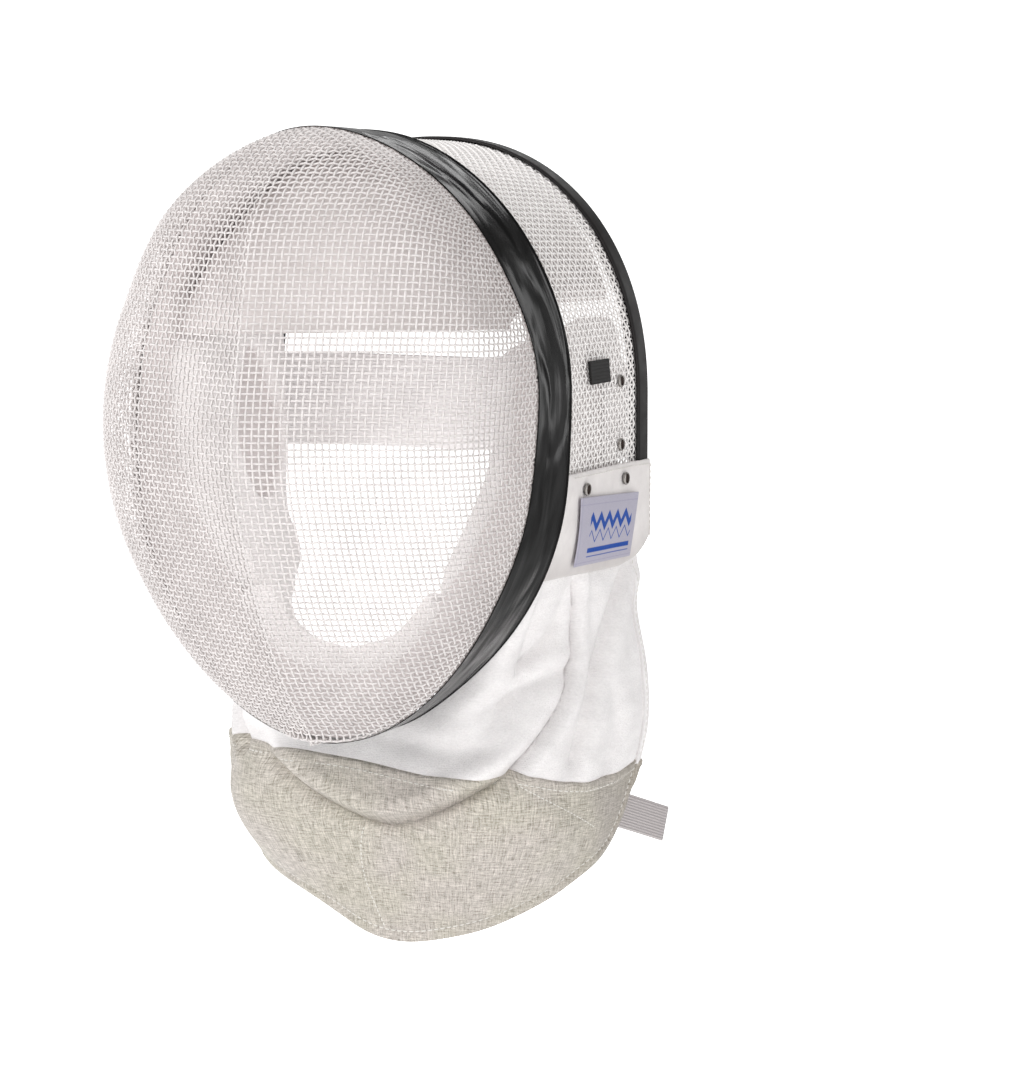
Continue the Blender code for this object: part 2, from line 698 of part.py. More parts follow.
def parted(grid, row, share):
    """Cuts a grid in two at a row, each edge drawn back by this share of its last cell."""
    first, last = grid[:row + 1].copy(), grid[row:].copy()
    first[-1] += share * (grid[row - 1] - grid[row])
    last[0] += share * (grid[row + 1] - grid[row])
    return first, last


def make_lining():
    cheek = np.linspace(0, LINING_SPLIT, 11)
    chin = np.linspace(LINING_SPLIT, len(LINING_TABLE) - 1, 8)
    outer, inner = lining_faces(np.concatenate([cheek, chin[1:]]), 7)
    inner[-1, :, 0] = 0
    cheek_outer, chin_outer = parted(outer, len(cheek) - 1, LINING_JOINT)
    cheek_inner, chin_inner = parted(inner, len(cheek) - 1, LINING_JOINT)
    sides = cheek_outer, cheek_inner
    left = closed_wall("side_pad_left", *sides, PAD_GREY, 0.8)
    right = closed_wall("side_pad_right", *map(mirrored, sides), PAD_GREY, 0.8)
    for pad, side in ((left, 1), (right, -1)):
        bpy.ops.mesh.primitive_cylinder_add(
            vertices=20, radius=1, depth=EAR_CUT_LENGTH * MM,
            rotation=(np.radians(EAR_LEAN), np.pi / 2, 0))
        cutter = bpy.context.object
        cutter.name = f"ear_cutter_{pad.name}"
        cutter.scale = (EAR_HALF_SIZE[1] * MM, EAR_HALF_SIZE[0] * MM, 1)
        place = EAR_CENTRE * [side, 1, 1]
        cutter.location = ((place - HEAD_SEAT) * MM).tolist()
        cutter.hide_render = True
        cutter.display_type = "WIRE"
        for collection in cutter.users_collection:
            collection.objects.unlink(cutter)
        cutters.objects.link(cutter)
        hole = pad.modifiers.new("ear", "BOOLEAN")
        hole.operation = "DIFFERENCE"
        hole.object = cutter
    whole = [np.concatenate([half, mirrored(half)[-2::-1]]) for half in (chin_outer, chin_inner)]
    closed_wall("chin_pad", *whole, PAD_GREY, 0.8)


def make_crown_pad():
    """Runs under the crown and turns down in front to a straight edge over the brow."""
    angles = np.linspace(CROWN_LOWEST_ANGLE, 180 - CROWN_LOWEST_ANGLE, 17)[:, None]
    top = under_band(angles, BAND_WIDTH * CROWN_TOP_SHARE, -CROWN_INSET)
    rear = back_surface(angles, CROWN_REAR_SHARE, -CROWN_INSET)
    rear[..., 1] = CROWN_REAR_Y
    lead = np.linspace(0, 1, 4)[None, :]
    turn_top = top * [1, 0, 1] + [0, CROWN_TURN_Y, 0]
    roof = rear * (1 - lead[..., None]) + turn_top * lead[..., None]
    drop = np.radians(np.linspace(0, 90, 8))[None, 1:]
    sine = np.sin(drop) ** (2 / BROW_POWER)
    cosine = np.cos(drop) ** (2 / BROW_POWER)
    share = np.abs(top[..., 0]) / np.abs(top[..., 0]).max()
    brow_y = BROW_Y[1] + (BROW_Y[0] - BROW_Y[1]) * share ** 2
    brow_z = BROW_Z + BROW_TILT * top[..., 0]
    front = np.stack([
        top[..., 0] + 0 * drop,
        CROWN_TURN_Y + (brow_y - CROWN_TURN_Y) * sine,
        brow_z + (top[..., 2] - brow_z) * cosine,
    ], -1)
    grid = np.concatenate([roof, front], 1)
    return sheet("crown_pad", grid, CROWN_THICKNESS, PAD_GREY, 0.8)


def make_head_strap():
    """A wide elastic strap from one side pad round the back to the other."""
    turn = np.radians(np.linspace(0, 180, 31))[None, :]
    height = np.linspace(-STRAP_HEIGHT / 2, STRAP_HEIGHT / 2, 3)[:, None]
    x = STRAP_HALF_WIDTH * np.sign(np.cos(turn)) * np.abs(np.cos(turn)) ** (2 / STRAP_POWER)
    reach = (STRAP_REAR_Y - STRAP_FRONT_Y) * np.abs(np.sin(turn)) ** (2 / STRAP_POWER)
    grid = np.stack([x + 0 * height, STRAP_FRONT_Y + reach + 0 * height,
                     STRAP_MIDDLE_Z + height + 0 * turn], -1)
    return sheet("head_strap", grid, STRAP_THICKNESS, (0.70, 0.68, 0.74), 0.8)


def make_clip_tab():
    bpy.ops.mesh.primitive_cube_add(size=1)
    tab = bpy.context.object
    tab.name = "clip_tab"
    tab.data.transform(scale_matrix(TAB_SIZE))
    flare, slope = np.radians([TAB_FLARE, TAB_SLOPE])
    along = np.array([np.sin(flare) * np.cos(slope), np.cos(flare) * np.cos(slope),
                      -np.sin(slope)])
    normal = np.array([np.cos(flare), -np.sin(flare), 0.0])
    seat_solid(tab, np.array(TAB_CENTRE), normal, along, (0.58, 0.56, 0.62), 0.8)


for old in list(bpy.data.objects):
    bpy.data.objects.remove(old, do_unlink=True)
parts = plain_collection("fencing_mask")
cutters = plain_collection("cutters")
make_front_mesh()
make_trim_band()
make_back_mesh()
make_rear_binding()
make_side_panels()
make_side_label()
make_side_tag()
make_rivets()
make_bib()
make_lining()
make_crown_pad()
make_head_strap()
make_clip_tab()
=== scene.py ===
# %% [markdown]
# # A fencing mask with a padded bib
# The mask is a cage of woven steel wire with cloth round it. A domed mesh covers the
# face, an arched mesh covers the back of the head, and a black vinyl band hides the joint
# between them. Pads line the inside, an elastic strap holds the head, and a padded bib
# with a conductive lower part hangs in front of the throat.
#
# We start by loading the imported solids. They say where everything belongs, so each piece
# below is placed by the same sizes, in the same frame, and then stands in for its solid.

import bpy
import numpy as np
from mathutils import Matrix


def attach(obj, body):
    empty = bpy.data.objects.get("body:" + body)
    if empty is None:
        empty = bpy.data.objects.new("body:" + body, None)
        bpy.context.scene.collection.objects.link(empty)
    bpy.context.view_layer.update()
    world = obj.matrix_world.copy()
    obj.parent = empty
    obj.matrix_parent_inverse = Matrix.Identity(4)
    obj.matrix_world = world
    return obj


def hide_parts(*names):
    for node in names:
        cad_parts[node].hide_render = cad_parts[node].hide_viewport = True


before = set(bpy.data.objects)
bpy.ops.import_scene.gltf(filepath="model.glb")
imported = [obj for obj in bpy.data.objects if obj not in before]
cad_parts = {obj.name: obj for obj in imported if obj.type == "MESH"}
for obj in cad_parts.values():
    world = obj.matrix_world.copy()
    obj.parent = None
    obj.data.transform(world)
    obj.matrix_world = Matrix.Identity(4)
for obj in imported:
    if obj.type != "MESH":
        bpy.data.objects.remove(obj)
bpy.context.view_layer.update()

# %% [markdown]
# ## Working in millimetres
# The sizes below are in millimetres, in a working frame whose x = 0 is the plane of
# symmetry, with +X the wearer's left, -Y forwards and +Z up. y = 0 is near the front edge
# of the black band. One function moves finished points to the scene's frame, whose origin
# is the head seat under the crown pad.

# %% The working frame
MM = 0.001
HEAD_SEAT = np.array([0.0, 78.0, 123.34])


def placed(points):
    """Working points in millimetres, moved so that the head seat is the origin, in metres."""
    return (np.asarray(points, float) - HEAD_SEAT) * MM


# %% [markdown]
# ## The camera
# The photograph was taken from the front, about 25 degrees to the wearer's left and 6
# degrees above, from about 2 m away. A long lens keeps the upright edges nearly parallel.
# Blender's AUTO sensor fit puts the 36 mm on the longer side of the frame, its height.


# %% Camera
TURN, LIFT = np.radians([25.2, 6.4])
AIM, DISTANCE = placed([89.0, 0.0, -43.2]), 1.985
FOCAL_LENGTH, SENSOR_WIDTH, CLIP_START, CLIP_END = 147.49, 36.0, 0.05, 200.0
RIGHT = np.array([np.cos(TURN), np.sin(TURN), 0.0])
AHEAD = np.array([-np.sin(TURN) * np.cos(LIFT), np.cos(TURN) * np.cos(LIFT), -np.sin(LIFT)])


def stand(name, data, across, back, place):
    """Stands a camera or a lamp at a place, looking along its own -z axis.

    Its x axis lies along across, its z axis along back, and its y axis is back x across.
    """
    obj = bpy.data.objects.new(name, data)
    turned = np.eye(4)
    turned[:3] = np.stack([across, np.cross(back, across), back, place], -1)
    obj.matrix_world = Matrix(turned.tolist())
    bpy.context.scene.collection.objects.link(obj)
    return obj


lens = bpy.data.cameras.new("camera")
lens.lens, lens.sensor_width = FOCAL_LENGTH, SENSOR_WIDTH
lens.clip_start, lens.clip_end = CLIP_START, CLIP_END
camera_place = AIM - AHEAD * DISTANCE
bpy.context.scene.camera = stand("camera", lens, RIGHT, -AHEAD, camera_place)
print("camera at", np.round(camera_place, 3))

# %% [markdown]
# ## Meshes from grids
# Nearly every piece is a grid of points: rows and columns worked out as whole arrays.
# `grid_quads` joins neighbours into four-sided faces, and `lay_mesh` hands points, faces
# and a flat map of the surface (its UV map, in millimetres along the cloth or the wire)
# to Blender in a few fast calls. The volume that the faces enclose tells us whether they
# point outwards: if it's negative, every face is turned round.

# %% Grids into meshes
def grid_quads(rows, columns, wrap_rows=False, wrap_columns=False):
    """Corner numbers of the faces of a grid, with the row and the column of each corner.

    A corner's number is row * columns + column. Where the grid is wrapped, the last row
    or column joins the first, but its row or column number runs on, for the UV map.
    """
    row = np.arange(rows - (not wrap_rows))[:, None, None]
    column = np.arange(columns - (not wrap_columns))[None, :, None]
    r = row + np.array([0, 0, 1, 1])
    c = column + np.array([0, 1, 1, 0])
    r, c = np.broadcast_arrays(r, c)
    number = (r % rows) * columns + c % columns
    return number.reshape(-1, 4), r.reshape(-1, 4), c.reshape(-1, 4)


def enclosed(points, faces):
    """Volume inside the faces: a sixth of the sum of each corner fan's triple products."""
    total = 0.0
    for k in range(1, faces.shape[1] - 1):
        a, b, c = points[faces[:, 0]], points[faces[:, k]], points[faces[:, k + 1]]
        total += np.einsum("ij,ij->", a, np.cross(b, c)) / 6
    return total


def lay_mesh(name, points, faces, uv=None, caps=None, crease=60.0):
    """A smooth-shaded object from working points; faces are quads, caps wider end faces."""
    points = placed(np.asarray(points).reshape(-1, 3))
    volume = enclosed(points, faces) + (0.0 if caps is None else enclosed(points, caps))
    if volume < 0:
        faces = faces[:, ::-1]
        uv = None if uv is None else uv[:, ::-1]
        caps = None if caps is None else caps[:, ::-1]
    corners = faces.ravel()
    starts = np.arange(len(faces)) * faces.shape[1]
    if caps is not None:
        starts = np.concatenate([starts, len(corners) + np.arange(len(caps)) * caps.shape[1]])
        corners = np.concatenate([corners, caps.ravel()])
    mesh = bpy.data.meshes.new(name)
    mesh.vertices.add(len(points))
    mesh.vertices.foreach_set("co", points.ravel())
    mesh.loops.add(len(corners))
    mesh.loops.foreach_set("vertex_index", corners.astype(np.int32))
    mesh.polygons.add(len(starts))
    mesh.polygons.foreach_set("loop_start", starts.astype(np.int32))
    mesh.update(calc_edges=True)
    if uv is not None:
        flat = np.zeros((len(corners), 2))
        flat[:faces.size] = uv.reshape(-1, 2)
        mesh.uv_layers.new(name="surface").data.foreach_set("uv", flat.ravel())
    mesh.shade_smooth()
    mesh.set_sharp_from_angle(angle=np.radians(crease))
    obj = bpy.data.objects.new(name, mesh)
    bpy.context.scene.collection.objects.link(obj)
    return obj


def finish(obj, material, slot, *nodes):
    """Gives a piece its material, sets it on the body and in a solid's place. The slot is not used.
    """
    obj.data.materials.clear()
    obj.data.materials.append(material)
    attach(obj, "root")
    if nodes:
        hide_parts(*nodes)
    triangles = sum(len(face.vertices) - 2 for face in obj.data.polygons)
    print(f"{obj.name}: {triangles} triangles")
    return obj


# %% [markdown]
# ## Cloth walls
# Padded cloth is a wall with two faces. Starting from its middle surface, both faces are
# raised along the surface's normals, and the rise falls to nothing at the border in a
# quarter of an ellipse. The two faces share the border's points, so the edge is soft and
# the wall is closed. Rows and columns crowd near the border to draw that curve well.


# %% Walls with soft edges
def unit(vectors):
    """Vectors divided by their length."""
    return vectors / np.maximum(np.linalg.norm(vectors, axis=-1, keepdims=True), 1e-12)


def eased(share):
    """A share from 0 to 1 with a soft start and a soft end: s ** 2 * (3 - 2 s)."""
    return share ** 2 * (3 - 2 * share)


def run_along(points, axis=0):
    """Length run from the first point, along a line or along one axis of a grid."""
    step = np.linalg.norm(np.diff(points, axis=axis), axis=-1)
    return np.concatenate([np.zeros_like(np.take(step, [0], axis)), np.cumsum(step, axis)], axis)


def closed_run(profile):
    """Length run round a closed profile, from its first point back to it."""
    return run_along(np.concatenate([profile, profile[:1]]))


def grid_normals(grid):
    """Unit normals of a grid: the cross product of the steps along rows and columns."""
    return unit(np.cross(np.gradient(grid, axis=0), np.gradient(grid, axis=1)))


def facing_away(normals, points, centre):
    """Normals, each turned round where it points towards the centre."""
    return normals * np.sign((normals * (points - centre)).sum(-1, keepdims=True))


def crowded(count, soft, length):
    """Shares from 0 to 1 with five extra near each end, inside the soft edge's width."""
    edge = soft / length * np.array([0.0, 0.04, 0.15, 0.35, 0.65])
    middle = np.linspace(soft / length, 1 - soft / length, count)
    return np.concatenate([edge, middle, 1 - edge[::-1]])


def edge_rise(grid, soft, power=2.0):
    """How far the faces have risen, from 0 at the border to 1 once soft millimetres in.

    The distance d to the border is the length run along each row and column, and the rise
    is (1 - (1 - d / soft) ** power) ** (1 / power).
    """
    total = 1.0
    for axis in (0, 1):
        run = run_along(grid, axis)
        near = np.clip(np.minimum(run, np.take(run, [-1], axis) - run) / soft, 0, 1)
        total = total * (1 - (1 - near) ** power) ** (1 / power)
    return total


def cloth_wall(name, middle, rise, uv_grid, soft, power=2.0, inner_shift=0.0):
    """A closed wall whose faces rise this far either side of its middle surface.

    The two faces share the border's points. The inner face's UVs can be shifted, so that a
    finish tells the two faces apart.
    """
    lift = (rise * edge_rise(middle, soft, power))[..., None] * grid_normals(middle)
    rows, columns = middle.shape[:2]
    number, r, c = grid_quads(rows, columns)
    below = np.arange(rows * columns).reshape(rows, columns)
    below[1:-1, 1:-1] += rows * columns
    faces = np.concatenate([number, below.ravel()[number][:, ::-1]])
    points = np.concatenate([(middle + lift).reshape(-1, 3), (middle - lift).reshape(-1, 3)])
    flat = uv_grid[r, c]
    within = flat[:, ::-1] + [inner_shift, 0]
    return lay_mesh(name, points, faces, np.concatenate([flat, within]), crease=75.0)


def run_lengths(grid):
    """A UV grid in millimetres: the length run along the middle row and the middle column."""
    u, v = run_along(grid[len(grid) // 2]), run_along(grid[:, grid.shape[1] // 2])
    return np.stack(np.broadcast_arrays(u[None, :], v[:, None]), -1)


# %% [markdown]
# ## Finishes from nodes
# Every finish is worked out by nodes on Object coordinates or on the piece's own UV map,
# never by an image. These helpers add a node, link its inputs and set its values in one
# line, so that each finish below reads as a short recipe.


# %% Recipes for finishes
def feed(tree, socket, value):
    """Links a node's output to a socket, or sets the socket to a number or a colour."""
    if hasattr(value, "is_output"):
        tree.links.new(value, socket)
    else:
        socket.default_value = (*value, 1.0) if socket.type == "RGBA" else value


def add_node(tree, kind, out=0, settings=None, **inputs):
    """Adds a node, feeds its inputs and gives back one of its outputs.

    An input goes by its label, with _ for each space, or by its number, as in i0 or i1.
    """
    made = tree.nodes.new(kind)
    for key, value in (settings or {}).items():
        setattr(made, key, value)
    for key, value in inputs.items():
        by_number = key[0] == "i" and key[1:].isdigit()
        feed(tree, made.inputs[int(key[1:]) if by_number else key.replace("_", " ")], value)
    return made.outputs[out]


class Recipe:
    """A material with one Principled shader, and short calls to add nodes to it."""

    def __init__(self, name, **values):
        """Starts the material, with the shader's sockets that stay at one value."""
        self.material = bpy.data.materials.new(name)
        self.material.use_nodes = True
        self.tree = self.material.node_tree
        self.shader = self.tree.nodes["Principled BSDF"]
        for socket, value in values.items():
            self.set(socket.replace("_", " "), value)

    def set(self, socket, value):
        """Feeds one socket of the shader."""
        feed(self.tree, self.shader.inputs[socket], value)

    def add(self, kind, out=0, settings=None, **inputs):
        """Adds a node to this material."""
        return add_node(self.tree, kind, out, settings, **inputs)

    def in_object(self):
        """The object's own coordinates, in metres."""
        return self.add("ShaderNodeTexCoord", "Object")

    def on_surface(self):
        """The piece's own UV map, in millimetres along it."""
        return self.add("ShaderNodeUVMap", settings={"uv_map": "surface"})

    def surface_place(self, scale=(1, 1, 1)):
        """The piece's own UV map, scaled."""
        return self.add("ShaderNodeMapping", Vector=self.on_surface(), Scale=scale)

    def along_object(self, axis):
        """The object's own coordinates along one axis."""
        return self.add("ShaderNodeSeparateXYZ", axis, i0=self.in_object())

    def along_surface(self, axis):
        """The piece's own UV map along u (axis 0) or v (axis 1)."""
        return self.add("ShaderNodeSeparateXYZ", axis, i0=self.on_surface())

    def noise(self, place, scale=1.0, detail=2.0, roughness=0.5, distortion=0.0):
        """A noise from about 0.3 to 0.7, whose grains are one over scale wide."""
        return self.add("ShaderNodeTexNoise", "Fac", Vector=place, Scale=scale,
                        Detail=detail, Roughness=roughness, Distortion=distortion)

    def object_noise(self, scale, *character):
        """A noise in the object's own coordinates, with this many grains to a metre."""
        return self.noise(self.in_object(), scale, *character)

    def surface_noise(self, scale, *character):
        """A noise on the UV map, with this many grains to a millimetre of u and of v."""
        return self.noise(self.surface_place(scale), 1.0, *character)

    def maths(self, operation, a, b=0.0, c=0.0):
        """One step of arithmetic on up to three values."""
        return self.add("ShaderNodeMath", settings={"operation": operation}, i0=a, i1=b, i2=c)

    def weighed(self, *parts):
        """The sum of values times their weights, from (value, weight) pairs."""
        total = self.maths("MULTIPLY", *parts[-1])
        for value, weight in parts[-2::-1]:
            total = self.maths("MULTIPLY_ADD", value, weight, total)
        return total

    def span(self, value, low, high, to_low=0.0, to_high=1.0):
        """value from low..high stretched to to_low..to_high, held at the ends."""
        return self.add("ShaderNodeMapRange", 0, {"clamp": True}, Value=value, i1=low, i2=high,
                        i3=to_low, i4=to_high)

    def blend(self, share, first, second):
        """A colour between two, by share."""
        return self.add("ShaderNodeMix", 2, {"data_type": "RGBA"}, i0=share, i6=first, i7=second)

    def bump(self, height, distance, strength=1.0, **onto):
        """A bump whose full height is this many metres, laid on another with Normal=that."""
        return self.add("ShaderNodeBump", Height=height, Distance=distance, Strength=strength,
                        **onto)


def ripple(recipe, scale, axis=1):
    """A smooth wave from 0 to 1 along one axis of the scaled UV map, a crest for each unit."""
    along = recipe.add("ShaderNodeSeparateXYZ", axis, i0=recipe.surface_place(scale))
    turn = recipe.maths("MULTIPLY", along, 2 * np.pi)
    return recipe.maths("MULTIPLY_ADD", recipe.maths("COSINE", turn), -0.5, 0.5)


def weave(recipe, threads):
    """Height of a plain weave with so many threads a millimetre, which take turns on top."""
    scale = (threads, threads, 1)
    over = recipe.maths("MULTIPLY", ripple(recipe, scale, 0), ripple(recipe, scale, 1))
    check = recipe.add("ShaderNodeTexChecker", "Fac", Vector=recipe.surface_place(scale), Scale=1.0)
    return recipe.weighed((over, 0.7), (check, 0.3))


# %% [markdown]
# ## The shape of the mask
# The front edge of the band is a closed curve, given by a short table with a row for each
# 15 degrees from the chin to the crown. The same table says how deep the dome is at each
# height. A smooth spline reads it anywhere. The dome's level sections are two nearly flat
# flanks that meet in an upright ridge, with round shoulders where they turn to the band.


# %% Sizes of the shell
RIM_ANGLES = np.linspace(-90.0, 90.0, 13)
RIM_TABLE = np.array([
    # half width, edge y, dome depth, band flare
    (0.0, -7.5, 13.9, -0.1),
    (25.1, -7.5, 13.5, -1.5),
    (49.0, -7.8, 27.4, -3.1),
    (70.2, -7.3, 45.8, -1.1),
    (87.7, -6.4, 64.3, 1.3),
    (100.0, -3.8, 81.8, 0.4),
    (103.9, -0.4, 93.6, -1.5),
    (102.5, 2.5, 91.5, -2.0),
    (90.4, 1.8, 83.4, 0.2),
    (73.6, -2.2, 70.1, 0.6),
    (50.8, -5.8, 47.8, 0.5),
    (25.2, -10.1, 22.3, -0.6),
    (0.0, -13.2, 0.0, -2.5),
])
RIM_TOP, RIM_BOTTOM = 141.1, 140.0
FLANK_LEAN, FLANK_LEAN_LIMIT = 0.428, 0.85
SHOULDER_POWER, SHOULDER_ROOT = 10.9, 1.92
BAND_WIDTH, BAND_RISE = 40.7, 2.4
ARCH_HALF_WIDTH, ARCH_SPRING_Z, ARCH_TOP_Z = 100.2, 11.8, 134.0
ARCH_POWER, ARCH_Y, ARCH_SWEEP = 2.23, 134.0, 12.7
BINDING_RISE = 1.8

# %% Curves through the tables
def smooth(table_x, table_y, x):
    """Natural cubic spline through a table's rows, read at x."""
    table_x, table_y = np.asarray(table_x, float), np.asarray(table_y, float)
    step = np.diff(table_x)
    slope = np.diff(table_y) / step
    count = len(table_x)
    inner = np.arange(1, count - 1)
    system = np.eye(count)
    system[inner, inner - 1] = step[:-1]
    system[inner, inner] = 2 * (step[:-1] + step[1:])
    system[inner, inner + 1] = step[1:]
    right = np.zeros(count)
    right[1:-1] = 6 * np.diff(slope)
    bend = np.linalg.solve(system, right)
    i = np.clip(np.searchsorted(table_x, x, side="right") - 1, 0, count - 2)
    b = (x - table_x[i]) / step[i]
    a = 1 - b
    curve = (a ** 3 - a) * bend[i] + (b ** 3 - b) * bend[i + 1]
    return a * table_y[i] + b * table_y[i + 1] + curve * step[i] ** 2 / 6


def rim_column(column, top_parity, bottom_parity, tilt):
    """A column of the rim table at tilts from -90 to 90.

    Past each end the rows go on mirrored (parity 1) or turned about the last row (parity
    -1), so that the curve crosses the plane of symmetry smoothly.
    """
    values = RIM_TABLE[:, column]
    extra = (RIM_ANGLES[1] - RIM_ANGLES[0]) * np.arange(1, 4)
    above, below = values[-2:-5:-1], values[3:0:-1]
    above = 2 * values[-1] - above if top_parity < 0 else above
    below = 2 * values[0] - below if bottom_parity < 0 else below
    places = np.concatenate([RIM_ANGLES[0] - extra[::-1], RIM_ANGLES, RIM_ANGLES[-1] + extra])
    return smooth(places, np.concatenate([below, values, above]), tilt)


def fold_angle(angles):
    """Tilt from -90 to 90 of an angle round the face, and its side, 1 left or -1 right."""
    turned = np.radians(angles)
    tilt = np.degrees(np.arcsin(np.clip(np.sin(turned), -1, 1)))
    return tilt, np.where(np.cos(turned) < 0, -1.0, 1.0)


def rim_height(tilt):
    """Height of the rim at a tilt: its sine times the radius of the upper or lower half."""
    height = np.sin(np.radians(tilt))
    return height * np.where(height < 0, RIM_BOTTOM, RIM_TOP)


def rim(angles):
    """The band's front edge: half width and y from the table, z = radius * sin(angle)."""
    angles = np.asarray(angles, float)
    tilt, side = fold_angle(angles)
    return np.stack([side * rim_column(0, -1, -1, tilt), rim_column(1, 1, 1, tilt),
                     rim_height(tilt)], -1)


def outward(curve, angles):
    """Outward normals of a closed curve in the XZ plane, square to its chord."""
    tangent = curve(angles + 0.5) - curve(angles - 0.5)
    return unit(np.stack([tangent[..., 2], 0 * angles, -tangent[..., 0]], -1))


def under_band(angles, across, rise=0.0):
    """The shell under the band: the rim moved back by across, flared, and raised by rise."""
    angles, across, rise = np.broadcast_arrays(np.asarray(angles, float), across, rise)
    tilt, _ = fold_angle(angles)
    flare = rim_column(3, 1, 1, tilt) - BAND_RISE
    lift = flare * across / BAND_WIDTH + rise
    points = rim(angles) + outward(rim, angles) * lift[..., None]
    points[..., 1] += across
    return points


def arch(angles):
    """The rear edge: upright sides under a superellipse arch that leans forward on top."""
    angles = np.asarray(angles, float)
    tilt, side = fold_angle(angles)
    z = rim_height(tilt) * ARCH_TOP_Z / RIM_TOP
    rise = np.clip((z - ARCH_SPRING_Z) / (ARCH_TOP_Z - ARCH_SPRING_Z), 0, 1)
    x = side * ARCH_HALF_WIDTH * (1 - rise ** ARCH_POWER) ** (1 / ARCH_POWER)
    return np.stack([x, ARCH_Y - ARCH_SWEEP * rise ** 2, z], -1)


def back_surface(angles, share, rise=0.0):
    """Straight lines from the band's rear edge (share 0) to the rear edge (1), raised."""
    angles, share, rise = np.broadcast_arrays(np.asarray(angles, float), share, rise)
    front, rear_normal = under_band(angles, BAND_WIDTH), outward(arch, angles)
    rear = arch(angles) - BINDING_RISE * rear_normal
    share = share[..., None]
    normal = unit(outward(rim, angles) * (1 - share) + rear_normal * share)
    return front * (1 - share) + rear * share + normal * rise[..., None]


def side_surface(z, y, rise, corrections=8):
    """A point of the left side found by height and depth, in a few steps of correction."""
    z, y, rise = np.broadcast_arrays(np.asarray(z, float), y, rise)
    angles = np.degrees(np.arcsin(z / RIM_TOP))
    share = np.zeros_like(angles)
    for _ in range(corrections):
        found = back_surface(angles, share, rise)
        reach = back_surface(angles, 1.0)[..., 1] - back_surface(angles, 0.0)[..., 1]
        share = share + (y - found[..., 1]) / reach
        angles = angles + np.degrees((z - found[..., 2]) / RIM_TOP)
    return back_surface(angles, share, rise)


around = rim(np.arange(0, 360, 2.0))
print("front edge of the band:", np.round(np.ptp(around, axis=0), 1), "mm")

# %% [markdown]
# ## The wire mesh over the face
# Real mask mesh is woven flat, with 1 mm wires 3.1 mm apart, and then pressed over a form.
# The wires can't stretch, so the squares turn into leaning diamonds where the dome curves:
# every crossing stays 3.1 mm from the next along both wires. A net like this follows from
# two starting wires. Given three corners of a square, the fourth lies where two spheres
# of 3.1 mm meet the surface. Here one starting wire runs down the ridge and the other runs
# level across the dome, and each diagonal of new crossings is solved as one array.

# %% The dome as a test of inside and outside
PITCH, WIRE_RADIUS = 3.1, 0.5
FINE_STEPS = 2001
HEAD_MIDDLE = np.array([0.0, 60.0, 0.0])

tilts = np.linspace(-90, 90, FINE_STEPS)
DOME = {
    "z": rim_height(tilts),
    "width": np.maximum(rim_column(0, -1, -1, tilts), 1e-6),
    "depth": np.maximum(rim_column(2, -1, 1, tilts), 0.0),
    "edge": rim_column(1, 1, 1, tilts),
}


def dome_section(z):
    """Half width, depth, edge y and lean of the level section at each z."""
    width, depth, edge = (np.interp(z, DOME["z"], DOME[key]) for key in ("width", "depth", "edge"))
    return width, depth, edge, np.minimum(
        FLANK_LEAN * width / np.maximum(depth, 0.001), FLANK_LEAN_LIMIT)


def dome_y(x, z):
    """y = edge - depth (1 - lean s)(1 - s ** 10.9) ** (1 / 1.92), with s = |x| / half width."""
    width, depth, edge, lean = dome_section(z)
    s = np.minimum(np.abs(x) / width, 1.0)
    return edge - depth * (1 - lean * s) * (1 - s ** SHOULDER_POWER) ** (1 / SHOULDER_ROOT)


def outside(points):
    """Positive outside the dome and its straight walls behind the rim, negative inside."""
    x, y, z = np.moveaxis(points, -1, 0)
    width = dome_section(z)[0]
    beyond = (np.abs(x) > width) | (z > RIM_TOP) | (z < -RIM_BOTTOM)
    return np.where(beyond, 1.0, dome_y(x, z) - y)


# %% A net that can't stretch
SWING, HALVINGS, WIDEST = 1.9, 34, 0.97
LEVEL_Z, LEVEL_CROSSINGS, RIDGE_CROSSINGS = 17.0, 66, 70
RUN_ON, UNDER_EDGE = 20.0, 6.0


def read_line(line, run, at):
    """The points or vectors of a line read at some lengths run along it."""
    return np.stack([np.interp(at, run, line[:, k]) for k in range(3)], -1)


def even_places(curve, count):
    """Points at even steps of the pitch along a finely drawn curve, from its first point."""
    run, at = run_along(curve), np.arange(count) * PITCH
    found = read_line(curve, run, at)
    found[at > run[-1]] = np.nan
    return found


def fourth_corner(corner, first, second):
    """Where two spheres round first and second meet the surface, away from corner.

    The spheres meet in a circle about the line between their centres. A halving search
    along its outer half finds where the circle goes from inside the surface to outside.
    A square pulled nearly flat, with its corners almost two pitches apart, has no fourth.
    """
    middle, axis = (first + second) / 2, unit(second - first)
    half = np.linalg.norm(second - first, axis=-1) / 2
    radius = np.sqrt(np.maximum(PITCH ** 2 - half ** 2, 0))[:, None]
    away = middle - corner
    away = unit(away - axis * (away * axis).sum(-1, keepdims=True))
    up = facing_away(np.cross(axis, away), middle, HEAD_MIDDLE)
    low, high = np.full(len(middle), -SWING), np.full(len(middle), SWING)

    def at(angle):
        return middle + radius * (np.cos(angle)[:, None] * away + np.sin(angle)[:, None] * up)

    good = (outside(at(low)) < 0) & (outside(at(high)) > 0) & (half < WIDEST * PITCH)
    for _ in range(HALVINGS):
        mid = (low + high) / 2
        out = outside(at(mid)) > 0
        low, high = np.where(out, low, mid), np.where(out, mid, high)
    found = at((low + high) / 2)
    found[~good] = np.nan
    return found


